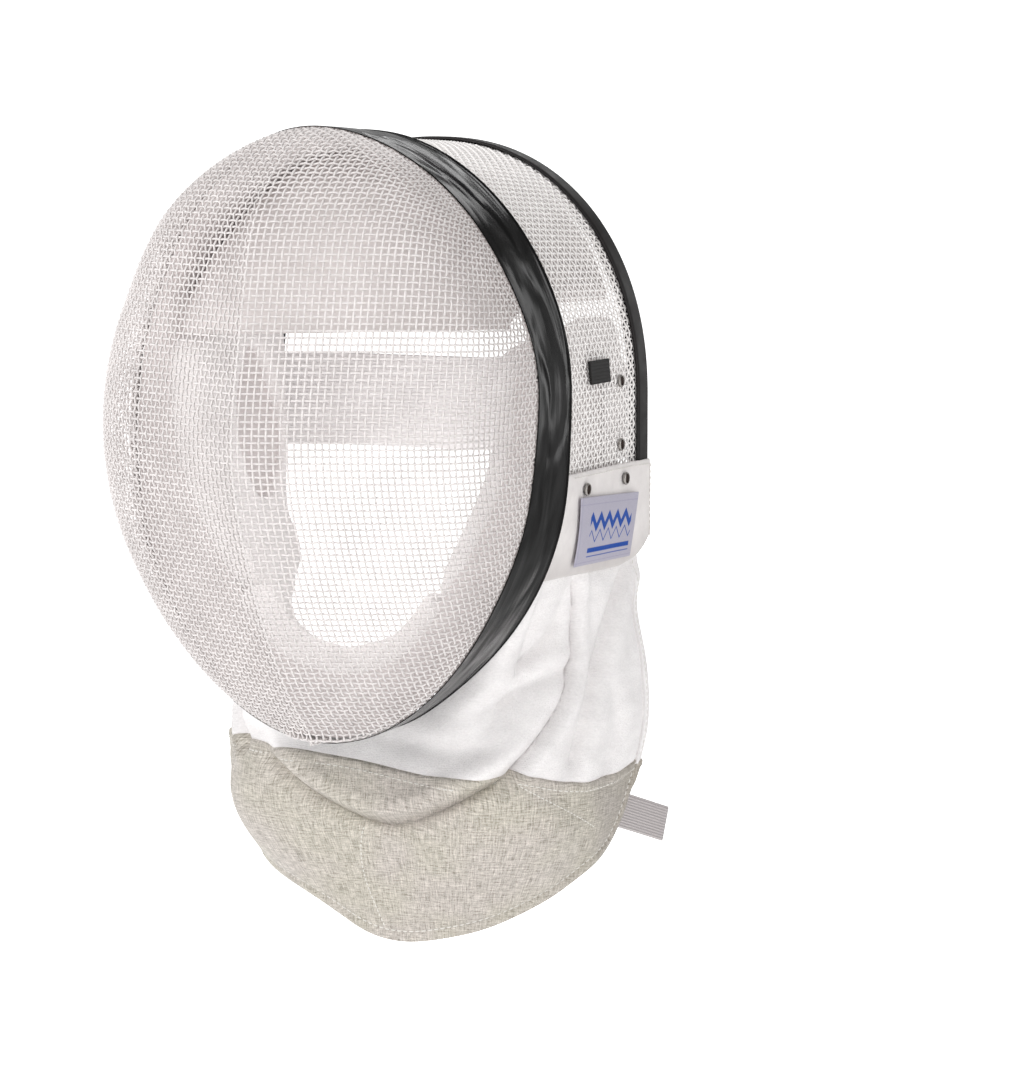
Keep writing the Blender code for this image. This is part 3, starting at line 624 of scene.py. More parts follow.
def quarter_net(ridge, level):
    """Fills net[i, j] from the ridge (i = 0) and the level wire (j = 0), by diagonals."""
    net = np.full((len(level), len(ridge), 3), np.nan)
    net[0], net[:, 0] = ridge, level
    for total in range(2, len(level) + len(ridge) - 1):
        i = np.arange(max(1, total - len(ridge) + 1), min(total, len(level)))
        j = total - i
        net[i, j] = fourth_corner(net[i - 1, j - 1], net[i, j - 1], net[i - 1, j])
    return net


quarter_turn = np.sin(np.radians(np.linspace(0, 90, FINE_STEPS)))
width, _, edge, _ = dome_section(LEVEL_Z)
x = quarter_turn * width
level_curve = np.stack([x, dome_y(x, LEVEL_Z), 0 * x + LEVEL_Z], -1)
level_curve = np.concatenate([level_curve, [[width, edge + RUN_ON, LEVEL_Z]]])
level = even_places(level_curve, LEVEL_CROSSINGS)

halves = []
for end_z in (RIM_TOP, -RIM_BOTTOM):
    z = LEVEL_Z + (end_z - LEVEL_Z) * quarter_turn
    ridge_curve = np.concatenate([np.stack([0 * z, dome_y(0 * z, z), z], -1), [[0, RUN_ON, end_z]]])
    halves.append(quarter_net(even_places(ridge_curve, RIDGE_CROSSINGS), level))
upper, lower = halves
right_half = np.concatenate([lower[:, :0:-1], upper], 1)
front_net = np.concatenate([right_half[:0:-1] * [-1, 1, 1], right_half])
edge_here = dome_section(front_net[..., 2])[2]
front_net[front_net[..., 1] > edge_here + UNDER_EDGE] = np.nan
print("crossings on the face:", int(np.isfinite(front_net[..., 0]).sum()))

# %% [markdown]
# ## Round wires on a net
# A woven wire passes over one crossing and under the next. Each wire is a thin tube: its
# middle runs from crossing to crossing, pushed out or in by half a millimetre in turn, and
# five points round it make the tube. Wires are cut into runs where the net has gaps, and
# each end is closed with a small cap. All the wires of one direction are one mesh.

# %% Woven wires
TUBE_SIDES, WIRE_DEPTH = 5, 1.0


def filled_steps(net, axis):
    """Step from the crossing before to the one after, one-sided where one is missing."""
    gap = np.full_like(np.take(net, [0], axis), np.nan)
    after = np.concatenate([np.delete(net, 0, axis), gap], axis)
    before = np.concatenate([gap, np.delete(net, -1, axis)], axis)
    after = np.where(np.isnan(after), net, after)
    before = np.where(np.isnan(before), net, before)
    return after - before


def woven_middles(net, along, sense):
    """Middles of the wires along one axis of a net, with their directions up and beside.

    The middle of each wire lies just under the surface, and swings 0.5 mm out and in as
    the parity of its crossings says. Points between crossings are the mean of the two.
    """
    normal = unit(np.cross(filled_steps(net, 0), filled_steps(net, 1)))
    normal = facing_away(normal, net, HEAD_MIDDLE)
    i, j = np.indices(net.shape[:2])
    swing = sense * WIRE_RADIUS * (1 - 2.0 * ((i + j) % 2))
    crossings = net + normal * (swing - WIRE_DEPTH)[..., None]
    if along == 0:
        crossings, normal = crossings.swapaxes(0, 1), normal.swapaxes(0, 1)
    middle = np.full((len(crossings), 2 * crossings.shape[1] - 1, 3), np.nan)
    up = middle.copy()
    middle[:, ::2], middle[:, 1::2] = crossings, (crossings[:, 1:] + crossings[:, :-1]) / 2
    up[:, ::2], up[:, 1::2] = normal, normal[:, 1:] + normal[:, :-1]
    tangent = unit(filled_steps(middle, 1))
    up = unit(up - tangent * (up * tangent).sum(-1, keepdims=True))
    return middle, up, np.cross(tangent, up)


def rings_round(middle, up, beside, radius):
    """Five points round each middle point: middle + radius (cos t up + sin t beside)."""
    turn = (np.arange(TUBE_SIDES) * 2 * np.pi / TUBE_SIDES)[:, None]
    return middle[..., None, :] + radius * (
        np.cos(turn) * up[..., None, :] + np.sin(turn) * beside[..., None, :])


def tubes(rings):
    """Points, faces and end caps of tubes through rings; a missing ring ends a tube."""
    there = np.isfinite(rings).all((2, 3))
    joined = there[:, 1:] & there[:, :-1]
    linked = np.zeros_like(there)
    linked[:, 1:] |= joined
    linked[:, :-1] |= joined
    place = np.cumsum(linked.ravel()).reshape(linked.shape) - 1
    side = np.arange(TUBE_SIDES)
    after = (side + 1) % TUBE_SIDES
    start, end = place[:, :-1][joined][:, None], place[:, 1:][joined][:, None]
    faces = np.stack([start * TUBE_SIDES + side, start * TUBE_SIDES + after,
                      end * TUBE_SIDES + after, end * TUBE_SIDES + side], -1).reshape(-1, 4)
    gap = np.zeros_like(joined[:, :1])
    first = place[linked & ~np.concatenate([gap, joined], 1)]
    last = place[linked & ~np.concatenate([joined, gap], 1)]
    caps = np.concatenate([first[:, None] * TUBE_SIDES + side[::-1],
                           last[:, None] * TUBE_SIDES + side])
    return rings[linked].reshape(-1, 3), faces, caps


def lay_wires(name, net, along, sense, node):
    """All the wires along one axis of a net as one piece, in the place of a solid."""
    points, faces, caps = tubes(rings_round(*woven_middles(net, along, sense), WIRE_RADIUS))
    wires = lay_mesh(name, points, faces, caps=caps, crease=80.0)
    return finish(wires, wire.material, "wire_mesh", node)


# %% [markdown]
# ## Coated wire
# The wires are galvanised and coated white, so they look like satin enamel: nearly white
# with a faint warm tint, a soft shine, and a slightly uneven coat that is thinner and a
# little greyer in random patches, where hands have worn it. By depth, the face mesh is
# painted greyer, as painted shade, and the back mesh paler, as painted light.


# %% The wire's finish and the face mesh
wire = Recipe("white_coated_wire", Coat_Weight=0.2, Coat_Roughness=0.3)
spread = wire.object_noise(60.0, 3.0, 0.6)
grains = wire.object_noise(900.0, 2.0, 0.6)
tone = wire.span(wire.weighed((grains, 0.45), (spread, 0.55)), 0.35, 0.65)
# Painted light and shade by depth: the face mesh's wires are painted greyer and the back mesh's
# wires paler.
face_mesh_painted_shade = wire.blend(tone, (0.625, 0.59, 0.58), (0.765, 0.73, 0.72))
back_mesh_painted_light = wire.blend(tone, (0.88, 0.85, 0.835), (0.96, 0.935, 0.92))
behind = wire.span(wire.along_object(1), -0.062, -0.052)
wire.set("Base Color", wire.blend(behind, face_mesh_painted_shade, back_mesh_painted_light))
wire.set("Roughness", wire.span(spread, 0.3, 0.7, 0.34, 0.52))
wire.set("Normal", wire.bump(grains, 0.0001, 0.4))

lay_wires("face_wires_upright", front_net, 1, 1.0, "front_mesh")
lay_wires("face_wires_level", front_net, 0, -1.0, "front_mesh")

# %% [markdown]
# ## The mesh at the back
# The back mesh is the same weave, bent only one way, so its squares stay square. One set
# of wires goes round the head at even depths, and the other runs from front to back. The
# mesh starts behind the front mesh, under the band, and ends inside the rear binding.

# %% Back mesh
BACK_LOWEST_ANGLE, BACK_START, BACK_END_INSET = -24.0, 6.2, 1.2
GUIDE_Y, GUIDE_STEPS, FIRST_Y = 85.0, 1201, -14.0


def shell_at(angles, y):
    """The shell at an angle and a depth y: under the band at first, then the back surface."""
    angles, y = np.broadcast_arrays(np.asarray(angles, float), y)
    front, rear = back_surface(angles, 0.0)[..., 1], back_surface(angles, 1.0)[..., 1]
    across = np.clip(y - rim(angles)[..., 1], 0, BAND_WIDTH)
    share = np.clip((y - front) / (rear - front), 0, 1.2)
    return np.where((y < front)[..., None], under_band(angles, across), back_surface(angles, share))


guide = np.linspace(BACK_LOWEST_ANGLE, 180 - BACK_LOWEST_ANGLE, GUIDE_STEPS)
run = run_along(shell_at(guide, GUIDE_Y))
wires_deep = int(run[-1] // PITCH)
at_angle = np.interp(np.linspace(0, run[-1], wires_deep + 1), run, guide)
at_y = np.arange(FIRST_Y, ARCH_Y, PITCH)
back_net = shell_at(at_angle[:, None], at_y[None, :])
too_far = back_net[..., 1] > back_surface(at_angle, 1.0)[:, None, 1] - BACK_END_INSET
too_near = back_net[..., 1] < rim(at_angle)[:, None, 1] + BACK_START
back_net[too_far | too_near] = np.nan
lay_wires("back_wires_round", back_net, 0, 1.0, "back_mesh")
lay_wires("back_wires_deep", back_net, 1, -1.0, "back_mesh")

# %% [markdown]
# ## The black band
# The band is a strip of soft glossy vinyl, pulled tight over the joint and folded under at
# both edges, with a thin cord in its rear edge. It wrinkles a little where it goes round
# the curve, so its reflections break up into streaks along its length. We carry a
# closed profile round the rim and let slow waves and short tucks move its outer face.

# %% Band
def band_profile():
    """Closed profile as across (0 to 1), rise in mm, and how freely the vinyl may ripple.

    Its face rises slowly to the rear, where a round bead holds the cord, and its underside
    is flat.
    """
    across = np.concatenate([[0, 0, 0.01, 0.03, 0.06, 0.1], np.linspace(0.15, 0.93, 14)])
    rise = 0.45 + 2.0 * across + 0.35 * np.sin(np.pi * across)
    rise[:2] = 0.1, 0.3
    free = np.sin(np.pi * np.clip(across, 0, 1)) ** 0.7
    bead = np.radians(np.linspace(150, -60, 9))
    under = np.array([(0.99, 0.1), (0.5, 0.1)])
    return (np.concatenate([across, 0.972 + 0.024 * np.cos(bead), under[:, 0]]),
            np.concatenate([rise, 2.05 + 0.98 * np.sin(bead), under[:, 1]]),
            np.concatenate([free, 0 * bead, [0, 0]]))


def wandering(angle, across, seed, waves, counts):
    """A smooth random relief: sines round the band, each drifting sideways, summed."""
    rng = np.random.default_rng(seed)
    total = 0.0
    for _ in range(waves):
        count, lean = rng.integers(*counts), rng.uniform(-3, 3)
        phase, skew = rng.uniform(0, 2 * np.pi, 2)
        total = total + np.sin(count * np.radians(angle) + lean * across * 3 + phase) * np.cos(
            across * rng.uniform(2, 9) + skew)
    return total / waves ** 0.5


angles = np.arange(0, 360, 0.75) - 90
across, rise, free = band_profile()
grid_angle, grid_across = np.broadcast_arrays(angles[:, None], across[None])
relief = (0.13 * wandering(grid_angle, grid_across, seed=5, waves=14, counts=(9, 30))
          + 0.03 * wandering(grid_angle, grid_across, seed=8, waves=12, counts=(50, 110)))
relief = relief * free * (0.55 + 0.45 * np.sin(np.radians(2 * grid_angle + 40)) ** 2)
band_points = under_band(grid_angle, grid_across * BAND_WIDTH, rise[None] + relief)
number, r, c = grid_quads(*grid_angle.shape, wrap_rows=True, wrap_columns=True)
length_round = run_along(rim(np.append(angles, 270)))[-1]
across_run = closed_run(np.stack([across * BAND_WIDTH, rise], -1))
band_uv = np.stack([r / len(angles) * length_round, across_run[c]], -1)
band = lay_mesh("band", band_points, number, band_uv, crease=80.0)
print("band:", round(length_round), "mm round,", round(across_run[-1]), "mm round its section")

# %% The vinyl
BACKING_FROM, BACKING_FULL = BAND_WIDTH + 2.0, BAND_WIDTH + 3.5

vinyl = Recipe("glossy_black_vinyl", IOR=1.2)
along = vinyl.surface_noise((0.008, 0.11, 1), 2.0, 0.5, 0.3)
dents = vinyl.surface_noise((0.03, 0.05, 1), 1.0, 0.4, 0.6)
grain = vinyl.object_noise(2500.0, 2.0)
black = vinyl.blend(along, (0.003, 0.003, 0.003), (0.010, 0.0095, 0.0095))
backing = vinyl.span(vinyl.along_surface(1), BACKING_FROM, BACKING_FULL)
vinyl.set("Base Color", vinyl.blend(backing, black, (0.80, 0.76, 0.75)))
vinyl.set("Roughness", vinyl.span(along, 0.3, 0.7, 0.14, 0.26))
streaks = vinyl.bump(along, 0.0008, 0.45, Normal=vinyl.bump(dents, 0.0045, 0.55))
vinyl.set("Normal", vinyl.bump(grain, 0.00003, 0.3, Normal=streaks))
finish(band, vinyl.material, "band_black", "trim_band")

# %% [markdown]
# ## The rear binding
# A strip of black rubber is folded over the rear edge of the back mesh, so that nobody is
# scratched by the wire ends. Its section is a flattened U, carried round the arch.

# %% Binding
BINDING_PROFILE = np.array([
    # distance ahead of the mesh's edge, height over its outer face
    (11.0, 0.35), (11.1, 0.8), (10.9, 1.3), (10.3, 1.65), (9.0, 1.8), (5.0, 1.85), (1.0, 1.8),
    (0.0, 1.75), (-0.8, 1.35), (-1.3, 0.7), (-1.4, 0.0), (-1.4, -2.2), (-1.0, -3.1),
    (-0.2, -3.65), (0.8, -3.8), (8.0, -3.8), (10.4, -3.75), (11.0, -3.4), (11.0, -2.45),
    (5.0, -2.4), (-0.4, -2.4), (-0.4, 0.35), (5.0, 0.35),
])


def lay_strip(name, rings, run, profile_run):
    """A strip with a closed section: rings of points joined up, with a face at each end.

    Its UV map is the length run along the strip and the length run round its section.
    """
    rows, sides = rings.shape[:2]
    number, r, c = grid_quads(rows, sides, wrap_columns=True)
    first = np.arange(sides)
    ends = np.stack([first[::-1], first + (rows - 1) * sides])
    return lay_mesh(name, rings, number, np.stack([run[r], profile_run[c]], -1), ends)


angles = np.linspace(-18.0, 198.0, 289)
rear = back_surface(angles, 1.0)
forward = unit(back_surface(angles, 0.0) - rear)
normal = outward(arch, angles)
ahead, height = BINDING_PROFILE.T
rings = (rear[:, None] + forward[:, None] * ahead[None, :, None]
         + normal[:, None] * height[None, :, None])
binding = lay_strip("binding", rings, run_along(rear), closed_run(BINDING_PROFILE))

rubber = Recipe("satin_black_rubber", IOR=1.3)
mottle = rubber.object_noise(120.0, 3.0)
pores = rubber.object_noise(2200.0, 2.0)
rubber.set("Base Color", rubber.blend(mottle, (0.006, 0.005, 0.005), (0.016, 0.013, 0.013)))
rubber.set("Roughness", rubber.span(mottle, 0.3, 0.7, 0.36, 0.5))
rubber.set("Normal", rubber.bump(pores, 0.00006, 0.5))
finish(binding, rubber.material, "binding_black", "rear_binding")

# %% [markdown]
# ## The side panels
# White coated cloth covers the lower back corners, over the mesh and round the binding.
# Each panel is a thin wall: its middle surface is found on the shell by height and depth,
# it climbs over the binding, and its lower rear corner is cut off in a curve. A slow
# ripple keeps the cloth from looking pressed.

# %% Panels
PANEL_THICKNESS = 2.4
PANEL_TOP_Z, PANEL_BOTTOM_Z = -17.0, -66.0
PANEL_REAR_Y, PANEL_CORNER, PANEL_CORNER_RISE = 132.5, 26.0, 14.0
PANEL_CLIMB_Y, PANEL_CLIMB_RISE = (112.0, 121.0), 2.0
MESH_GAP = 0.4
SIDES = (("left", 1), ("right", -1))


def panel_rise(y):
    """Height of the panel's inner face: a smooth step up over the binding."""
    start, end = PANEL_CLIMB_Y
    return MESH_GAP + PANEL_CLIMB_RISE * eased(np.clip((y - start) / (end - start), 0, 1))


def panel_front(z):
    """y of the panel's front edge: just behind the band at each height."""
    return under_band(np.degrees(np.arcsin(z / RIM_BOTTOM)), BAND_WIDTH)[..., 1] + 0.9


down = crowded(26, 1.6, 49.0)[:, None]
along = crowded(40, 1.6, 90.0)[None, :]
top_front = panel_front(PANEL_TOP_Z)
y = top_front + (PANEL_REAR_Y - top_front) * along + 0 * down
corner = np.clip((y - PANEL_REAR_Y) / PANEL_CORNER + 1, 0, 1)
z = PANEL_TOP_Z + (PANEL_BOTTOM_Z + PANEL_CORNER_RISE * corner ** 2 - PANEL_TOP_Z) * down
y = y + (panel_front(z) - top_front) * (1 - along)
ripple_in = 0.30 * np.sin(y / 9.0 + z / 14.0) * np.sin(z / 7.5) - 0.28
middle = side_surface(z, y, panel_rise(y) + PANEL_THICKNESS / 2 + ripple_in)
flat = run_lengths(middle)
left_panel, right_panel = (
    cloth_wall(f"panel_{word}", middle * [side, 1, 1], PANEL_THICKNESS / 2 - 0.25, flat, 1.6)
    for word, side in SIDES)

coated = Recipe("white_coated_cloth")
grain = coated.noise(coated.surface_place(), 2.2, 3.0, 0.6)
soil = coated.object_noise(60.0, 6.0, 0.7)
coating = coated.blend(coated.span(soil, 0.35, 0.7), (0.80, 0.765, 0.75), (0.69, 0.655, 0.645))
# Painted shade: the panel is darkened towards its lower edge, where it stands over the bib.
painted_lower_edge_shade = coated.span(coated.along_object(2), -0.191, -0.172, 0.6, 0.0)
coated.set("Base Color", coated.blend(painted_lower_edge_shade, coating, (0.42, 0.385, 0.375)))
fine = coated.bump(weave(coated, 1.7), 0.00007, 0.35)
coated.set("Normal", coated.bump(grain, 0.00018, 0.4, Normal=fine))
coated.set("Roughness", coated.span(grain, 0.3, 0.7, 0.42, 0.6))
finish(left_panel, coated.material, "white_vinyl", "side_panel_left")
finish(right_panel, coated.material, "white_vinyl", "side_panel_right")

# %% [markdown]
# ## The woven label
# A small satin label is sewn to the left panel. It has a plain woven pattern of blue
# zigzags and bars, drawn by nodes on the label's own UV map.

# %% Label
LABEL_Y, LABEL_Z = (51.5, 112.5), (-61.5, -31.5)
LABEL_THICKNESS, LABEL_LIFT = 0.8, 0.6

up = crowded(14, 0.5, 30.0)[:, None]
along = crowded(30, 0.5, 67.0)[None, :]
y = LABEL_Y[0] + (LABEL_Y[1] - LABEL_Y[0]) * along
y = y + 4.0 * along * up + 6.0 * (1 - along) * (1 - up)
z = LABEL_Z[0] + (LABEL_Z[1] - LABEL_Z[0]) * up + 3.0 * (1 - along) * up
rise = panel_rise(y) + PANEL_THICKNESS + LABEL_LIFT + LABEL_THICKNESS / 2
middle = side_surface(z, y, rise + 0.12 * np.sin(y / 4.0) * (1 - up))
label = cloth_wall("label", middle, LABEL_THICKNESS / 2 - 0.1, run_lengths(middle), 0.5)

satin = Recipe("woven_label", Roughness=0.45, Specular_IOR_Level=0.25)
u, v = satin.along_surface(0), satin.along_surface(1)


def inside_band(value, low, high, soft=0.35):
    """1 where a value lies between low and high, 0 elsewhere, with a soft edge."""
    rising = satin.span(value, low, low + soft)
    falling = satin.span(value, high - soft, high, 1.0, 0.0)
    return satin.maths("MULTIPLY", rising, falling)


def one_of(*masks):
    """The brightest of several masks at each place."""
    best = masks[0]
    for mask in masks[1:]:
        best = satin.maths("MAXIMUM", best, mask)
    return best


tooth = satin.maths("FRACT", satin.maths("MULTIPLY", u, 1 / 9.0))
tooth = satin.maths("ABSOLUTE", satin.maths("ADD", tooth, -0.5))
zigzag_v = satin.maths("MULTIPLY_ADD", tooth, 11.0, v)
zigzag = one_of(inside_band(zigzag_v, 20.5, 25.0), inside_band(zigzag_v, 15.5, 16.8))
bars = one_of(inside_band(v, 5.6, 8.2), inside_band(v, 3.6, 4.4))
pattern = satin.maths("MULTIPLY", one_of(zigzag, bars), inside_band(u, 11.25, 56.25))
border = one_of(inside_band(u, 1.2, 1.9), inside_band(v, 1.2, 1.9), inside_band(v, 28.0, 28.7))
pale = satin.blend(satin.surface_noise((0.4, 6, 1), 3.0),
                   (0.34, 0.325, 0.40), (0.50, 0.48, 0.56))
pale = satin.blend(satin.maths("MULTIPLY", border, 0.4), pale, (0.20, 0.18, 0.34))
satin.set("Base Color", satin.blend(pattern, pale, (0.0, 0.055, 0.33)))
threads = satin.maths("MULTIPLY", ripple(satin, (1, 2.6, 1)),
                      satin.noise(satin.surface_place((0.8, 2.6, 1)), 2.0))
satin.set("Normal", satin.bump(satin.maths("MULTIPLY_ADD", pattern, 0.6, threads), 0.00015, 0.6))
finish(label, satin.material, "label_cloth", "side_label")

# %% [markdown]
# ## The tag and the rivets
# A plain black tag is clipped to the mesh above the panel. Four rivets on each side hold
# the strap and the panel. Each rivet is a turned shape: a profile of radius and height
# spun round the face's normal, with a hollow middle as a pressed eyelet has.

# %% Tag
TAG_CENTRE, TAG_LIFT = (78.0, 27.5), 0.75
TAG_THICKNESS, TAG_LENGTH, TAG_HEIGHT = 1.2, 23.0, 11.0


def side_frame(y, z):
    """A point on the left side with its normal and its rearward and upward directions."""
    place = side_surface(z, y, 0.0)
    rearward = unit(place - side_surface(z, y - 10, 0.0))
    normal = unit(np.cross(rearward, side_surface(z + 5, y, 0.0) - place))
    return place, normal, rearward, np.cross(normal, rearward)


place, normal, rearward, upward = side_frame(*TAG_CENTRE)
s = (crowded(12, 0.7, TAG_LENGTH) - 0.5)[None, :, None]
t = (crowded(7, 0.7, TAG_HEIGHT) - 0.5)[:, None, None]
middle = (place + normal * (TAG_THICKNESS / 2 + TAG_LIFT)
          + s * TAG_LENGTH * rearward + t * TAG_HEIGHT * upward)
tag = cloth_wall("tag", middle, TAG_THICKNESS / 2, run_lengths(middle), 0.7, 2.4)

plastic = Recipe("matt_black_plastic", Roughness=0.5, IOR=1.3)
tumbled = plastic.surface_noise((0.3, 1.2, 1), 3.0)
plastic.set("Base Color", plastic.blend(tumbled, (0.004, 0.0035, 0.0035), (0.012, 0.0105, 0.010)))
plastic.set("Normal", plastic.bump(ripple(plastic, (0, 0.62, 1)), 0.00016, 0.7))
finish(tag, plastic.material, "tag_black", "side_tag")

# %% Rivets
RIVET_RADIUS = 3.0
RIVET_SEATS = ((104.0, 21.5, 0.0), (104.0, -8.2, 0.0), (104.0, -24.0, 2.8), (59.0, -25.0, 2.8))
EYELET = np.array([
    # radius as a share, height in mm
    (0.0, 0.0), (0.98, 0.0), (1.0, 0.25), (0.98, 0.6), (0.93, 0.9), (0.86, 1.1), (0.80, 1.15),
    (0.75, 1.05), (0.72, 0.8), (0.68, 0.3), (0.0, 0.15),
])


def turned(profile, place, axes, sides=28):
    """A profile spun round axes[0], with one point at each end on the axis."""
    turn = np.arange(sides) * 2 * np.pi / sides
    round_it = np.cos(turn)[:, None] * axes[1] + np.sin(turn)[:, None] * axes[2]
    body = profile[1:-1]
    rings = body[:, 0, None, None] * round_it[None] + body[:, 1, None, None] * axes[0]
    poles = profile[[0, -1], 1][:, None] * axes[0]
    points = np.concatenate([rings.reshape(-1, 3), poles]) + place
    number, r, c = grid_quads(len(body), sides, wrap_columns=True)
    flat = np.stack([c / sides, body[r, 0] / body[:, 0].max()], -1)
    side, after = np.arange(sides), (np.arange(sides) + 1) % sides
    last = (len(body) - 1) * sides
    low = np.stack([after, side, 0 * side + len(points) - 2], -1)
    high = np.stack([last + side, last + after, 0 * side + len(points) - 1], -1)
    return points, number, flat, np.concatenate([low, high])


steel = Recipe("pressed_rivet")
tarnish = steel.object_noise(700.0, 3.0)
metal = steel.blend(tarnish, (0.20, 0.18, 0.165), (0.50, 0.48, 0.46))
# Painted shade: the eyelet's middle is near-black and not metal, standing in for the shade of a
# deep hole.
hole_painted_shade = steel.span(steel.along_surface(1), 0.72, 0.80, 1.0, 0.0)
steel.set("Base Color", steel.blend(hole_painted_shade, metal, (0.035, 0.022, 0.018)))
steel.set("Metallic", steel.maths("SUBTRACT", 1.0, hole_painted_shade))
steel.set("Roughness", steel.span(tarnish, 0.3, 0.7, 0.25, 0.45))
for word, side in SIDES:
    for count, (y, z, seat) in enumerate(RIVET_SEATS, 1):
        place, normal, rearward, upward = side_frame(y, z)
        place = place + normal * (seat + MESH_GAP)
        axes = np.array([normal, rearward, upward]) * [side, 1, 1]
        points, quads, flat, fans = turned(
            EYELET * [RIVET_RADIUS, 1.0], place * [side, 1, 1], axes)
        rivet = lay_mesh(f"eyelet_{word}_{count}", points, quads, flat, fans, crease=50.0)
        finish(rivet, steel.material, "rivet_metal", f"rivet_{word}_{count}")

# %% [markdown]
# ## The shape of the bib
# The bib hangs round an upright axis at the neck. Its radius is known in front, on the
# diagonal and at the side for ten heights, and a cosine series makes a smooth ring of the
# three. Near the top it follows the band and the back mesh that it is sewn to.

# %% Bib tables
NECK_Y, BIB_THICKNESS, BIB_BLEND, BIB_TUCK, BIB_DIAGONAL = 129.0, 5.0, 40.0, 1.6, 57.5
BIB_RADII = np.array([
    # z, radius in front, on the diagonal and at the side
    (-245.0, 70.5, 74.0, 80.0),
    (-225.0, 76.0, 84.0, 85.0),
    (-205.0, 83.0, 97.0, 89.0),
    (-186.0, 91.0, 107.0, 94.0),
    (-165.0, 98.0, 109.0, 98.0),
    (-147.0, 98.0, 107.0, 102.5),
    (-127.0, 98.0, 105.0, 103.0),
    (-109.0, 97.0, 101.5, 101.0),
    (-91.0, 97.0, 100.0, 97.5),
    (-66.0, 97.0, 100.0, 96.0),
])
SEAM_TABLE = np.array([
    # azimuth, z of the seam between the white cloth and the conductive cloth
    (-90.0, -156.0), (-55.0, -152.0), (-35.0, -152.0), (-20.0, -153.0), (0.0, -155.5),
    (16.0, -159.5), (28.0, -161.0), (41.0, -159.0), (50.0, -162.5), (70.0, -165.0),
    (90.0, -160.0),
])
HEM_TABLE = np.array([
    # azimuth, z of the bib's lower edge
    (-90.0, -163.0), (-85.0, -180.0), (-78.0, -197.5), (-64.0, -209.5), (-50.0, -215.5),
    (-37.0, -222.5), (-23.0, -232.5), (-12.0, -240.0), (0.0, -244.0), (12.0, -244.0),
    (22.5, -241.8), (33.0, -238.8), (42.0, -234.5), (51.0, -228.0), (61.0, -219.0),
    (70.5, -209.0), (80.0, -198.0), (85.0, -184.0), (90.0, -164.0),
])
FOLD_RADIUS, FOLD_FREE_FROM = 105.0, 15.0
FOLDS = np.array([
    # azimuth and z at the start, the middle and the end; depth, width, roll beside, repeated
    (58.1, -66.0, 58.9, -113.8, 42.0, -154.0, 5.0, 3.0, 2.6, 1.0),
    (55.8, -70.0, 52.5, -92.0, 44.0, -107.0, 3.0, 4.2, 1.0, 1.0),
    (57.7, -112.3, 47.0, -117.0, 34.0, -127.0, 3.2, 4.4, -1.4, 1.0),
    (85.0, -68.0, 70.2, -104.0, 57.8, -152.0, 5.2, 4.8, 2.2, 1.0),
    (-28.5, -158.0, 5.0, -184.0, 40.0, -158.0, 6.2, 4.6, 4.0, 0.0),
    (4.0, -139.0, 18.0, -146.0, 40.0, -150.0, 2.0, 6.0, 0.8, 1.0),
    (50.0, -166.0, 60.0, -184.0, 62.0, -198.0, 1.4, 8.0, 0.6, 1.0),
    (70.0, -118.0, 74.0, -138.0, 70.0, -158.0, 1.8, 6.0, 0.8, 1.0),
    (-58.0, -166.0, -52.0, -178.0, -50.0, -194.0, 1.6, 6.0, 0.8, 0.0),
])


def bent(start, middle, end, share):
    """A smooth curve through three values, at shares 0, a half and 1."""
    return smooth([0, 0.5, 1], [start, middle, end], share)


def bib_top(azimuth):
    """Radius and height of the bib's top edge, read off the band's and the mesh's edges."""
    along_band = under_band(np.linspace(-90, BACK_LOWEST_ANGLE - 1, 180), BAND_WIDTH + MESH_GAP)
    along_mesh = back_surface(BACK_LOWEST_ANGLE - 1, np.linspace(0.04, 0.96, 60), -BIB_TUCK)
    edge = np.concatenate([along_band, along_mesh])
    ahead = NECK_Y - edge[:, 1]
    turn = np.degrees(np.arctan2(edge[:, 0], ahead))
    wanted = np.minimum(np.abs(azimuth), turn[-1])
    return (np.interp(wanted, turn, np.hypot(edge[:, 0], ahead)),
            np.interp(wanted, turn, edge[:, 2]))


def bib_body(azimuth, z):
    """Radius as middle + a cos 2t + b cos 4t, through the front, diagonal and side radii."""
    front, diagonal, side = (smooth(BIB_RADII[:, 0], BIB_RADII[:, i], z) for i in (1, 2, 3))
    twice = 2 * np.radians(BIB_DIAGONAL)
    swing, middle = (front - side) / 2, (front + side) / 2
    corner = (middle + swing * np.cos(twice) - diagonal) / (1 - np.cos(2 * twice))
    turn = np.radians(azimuth)
    return middle - corner + swing * np.cos(2 * turn) + corner * np.cos(4 * turn)


def bib_radius(azimuth, z):
    """The body's radius, eased to the top edge's over the first 40 mm below it."""
    top_radius, top_z = bib_top(azimuth)
    share = np.clip((top_z - z) / BIB_BLEND, 0, 1)
    hold = (1 - share) ** 2 * (1 + 2 * share)
    return bib_body(azimuth, z) + hold * (top_radius - bib_body(azimuth, top_z))


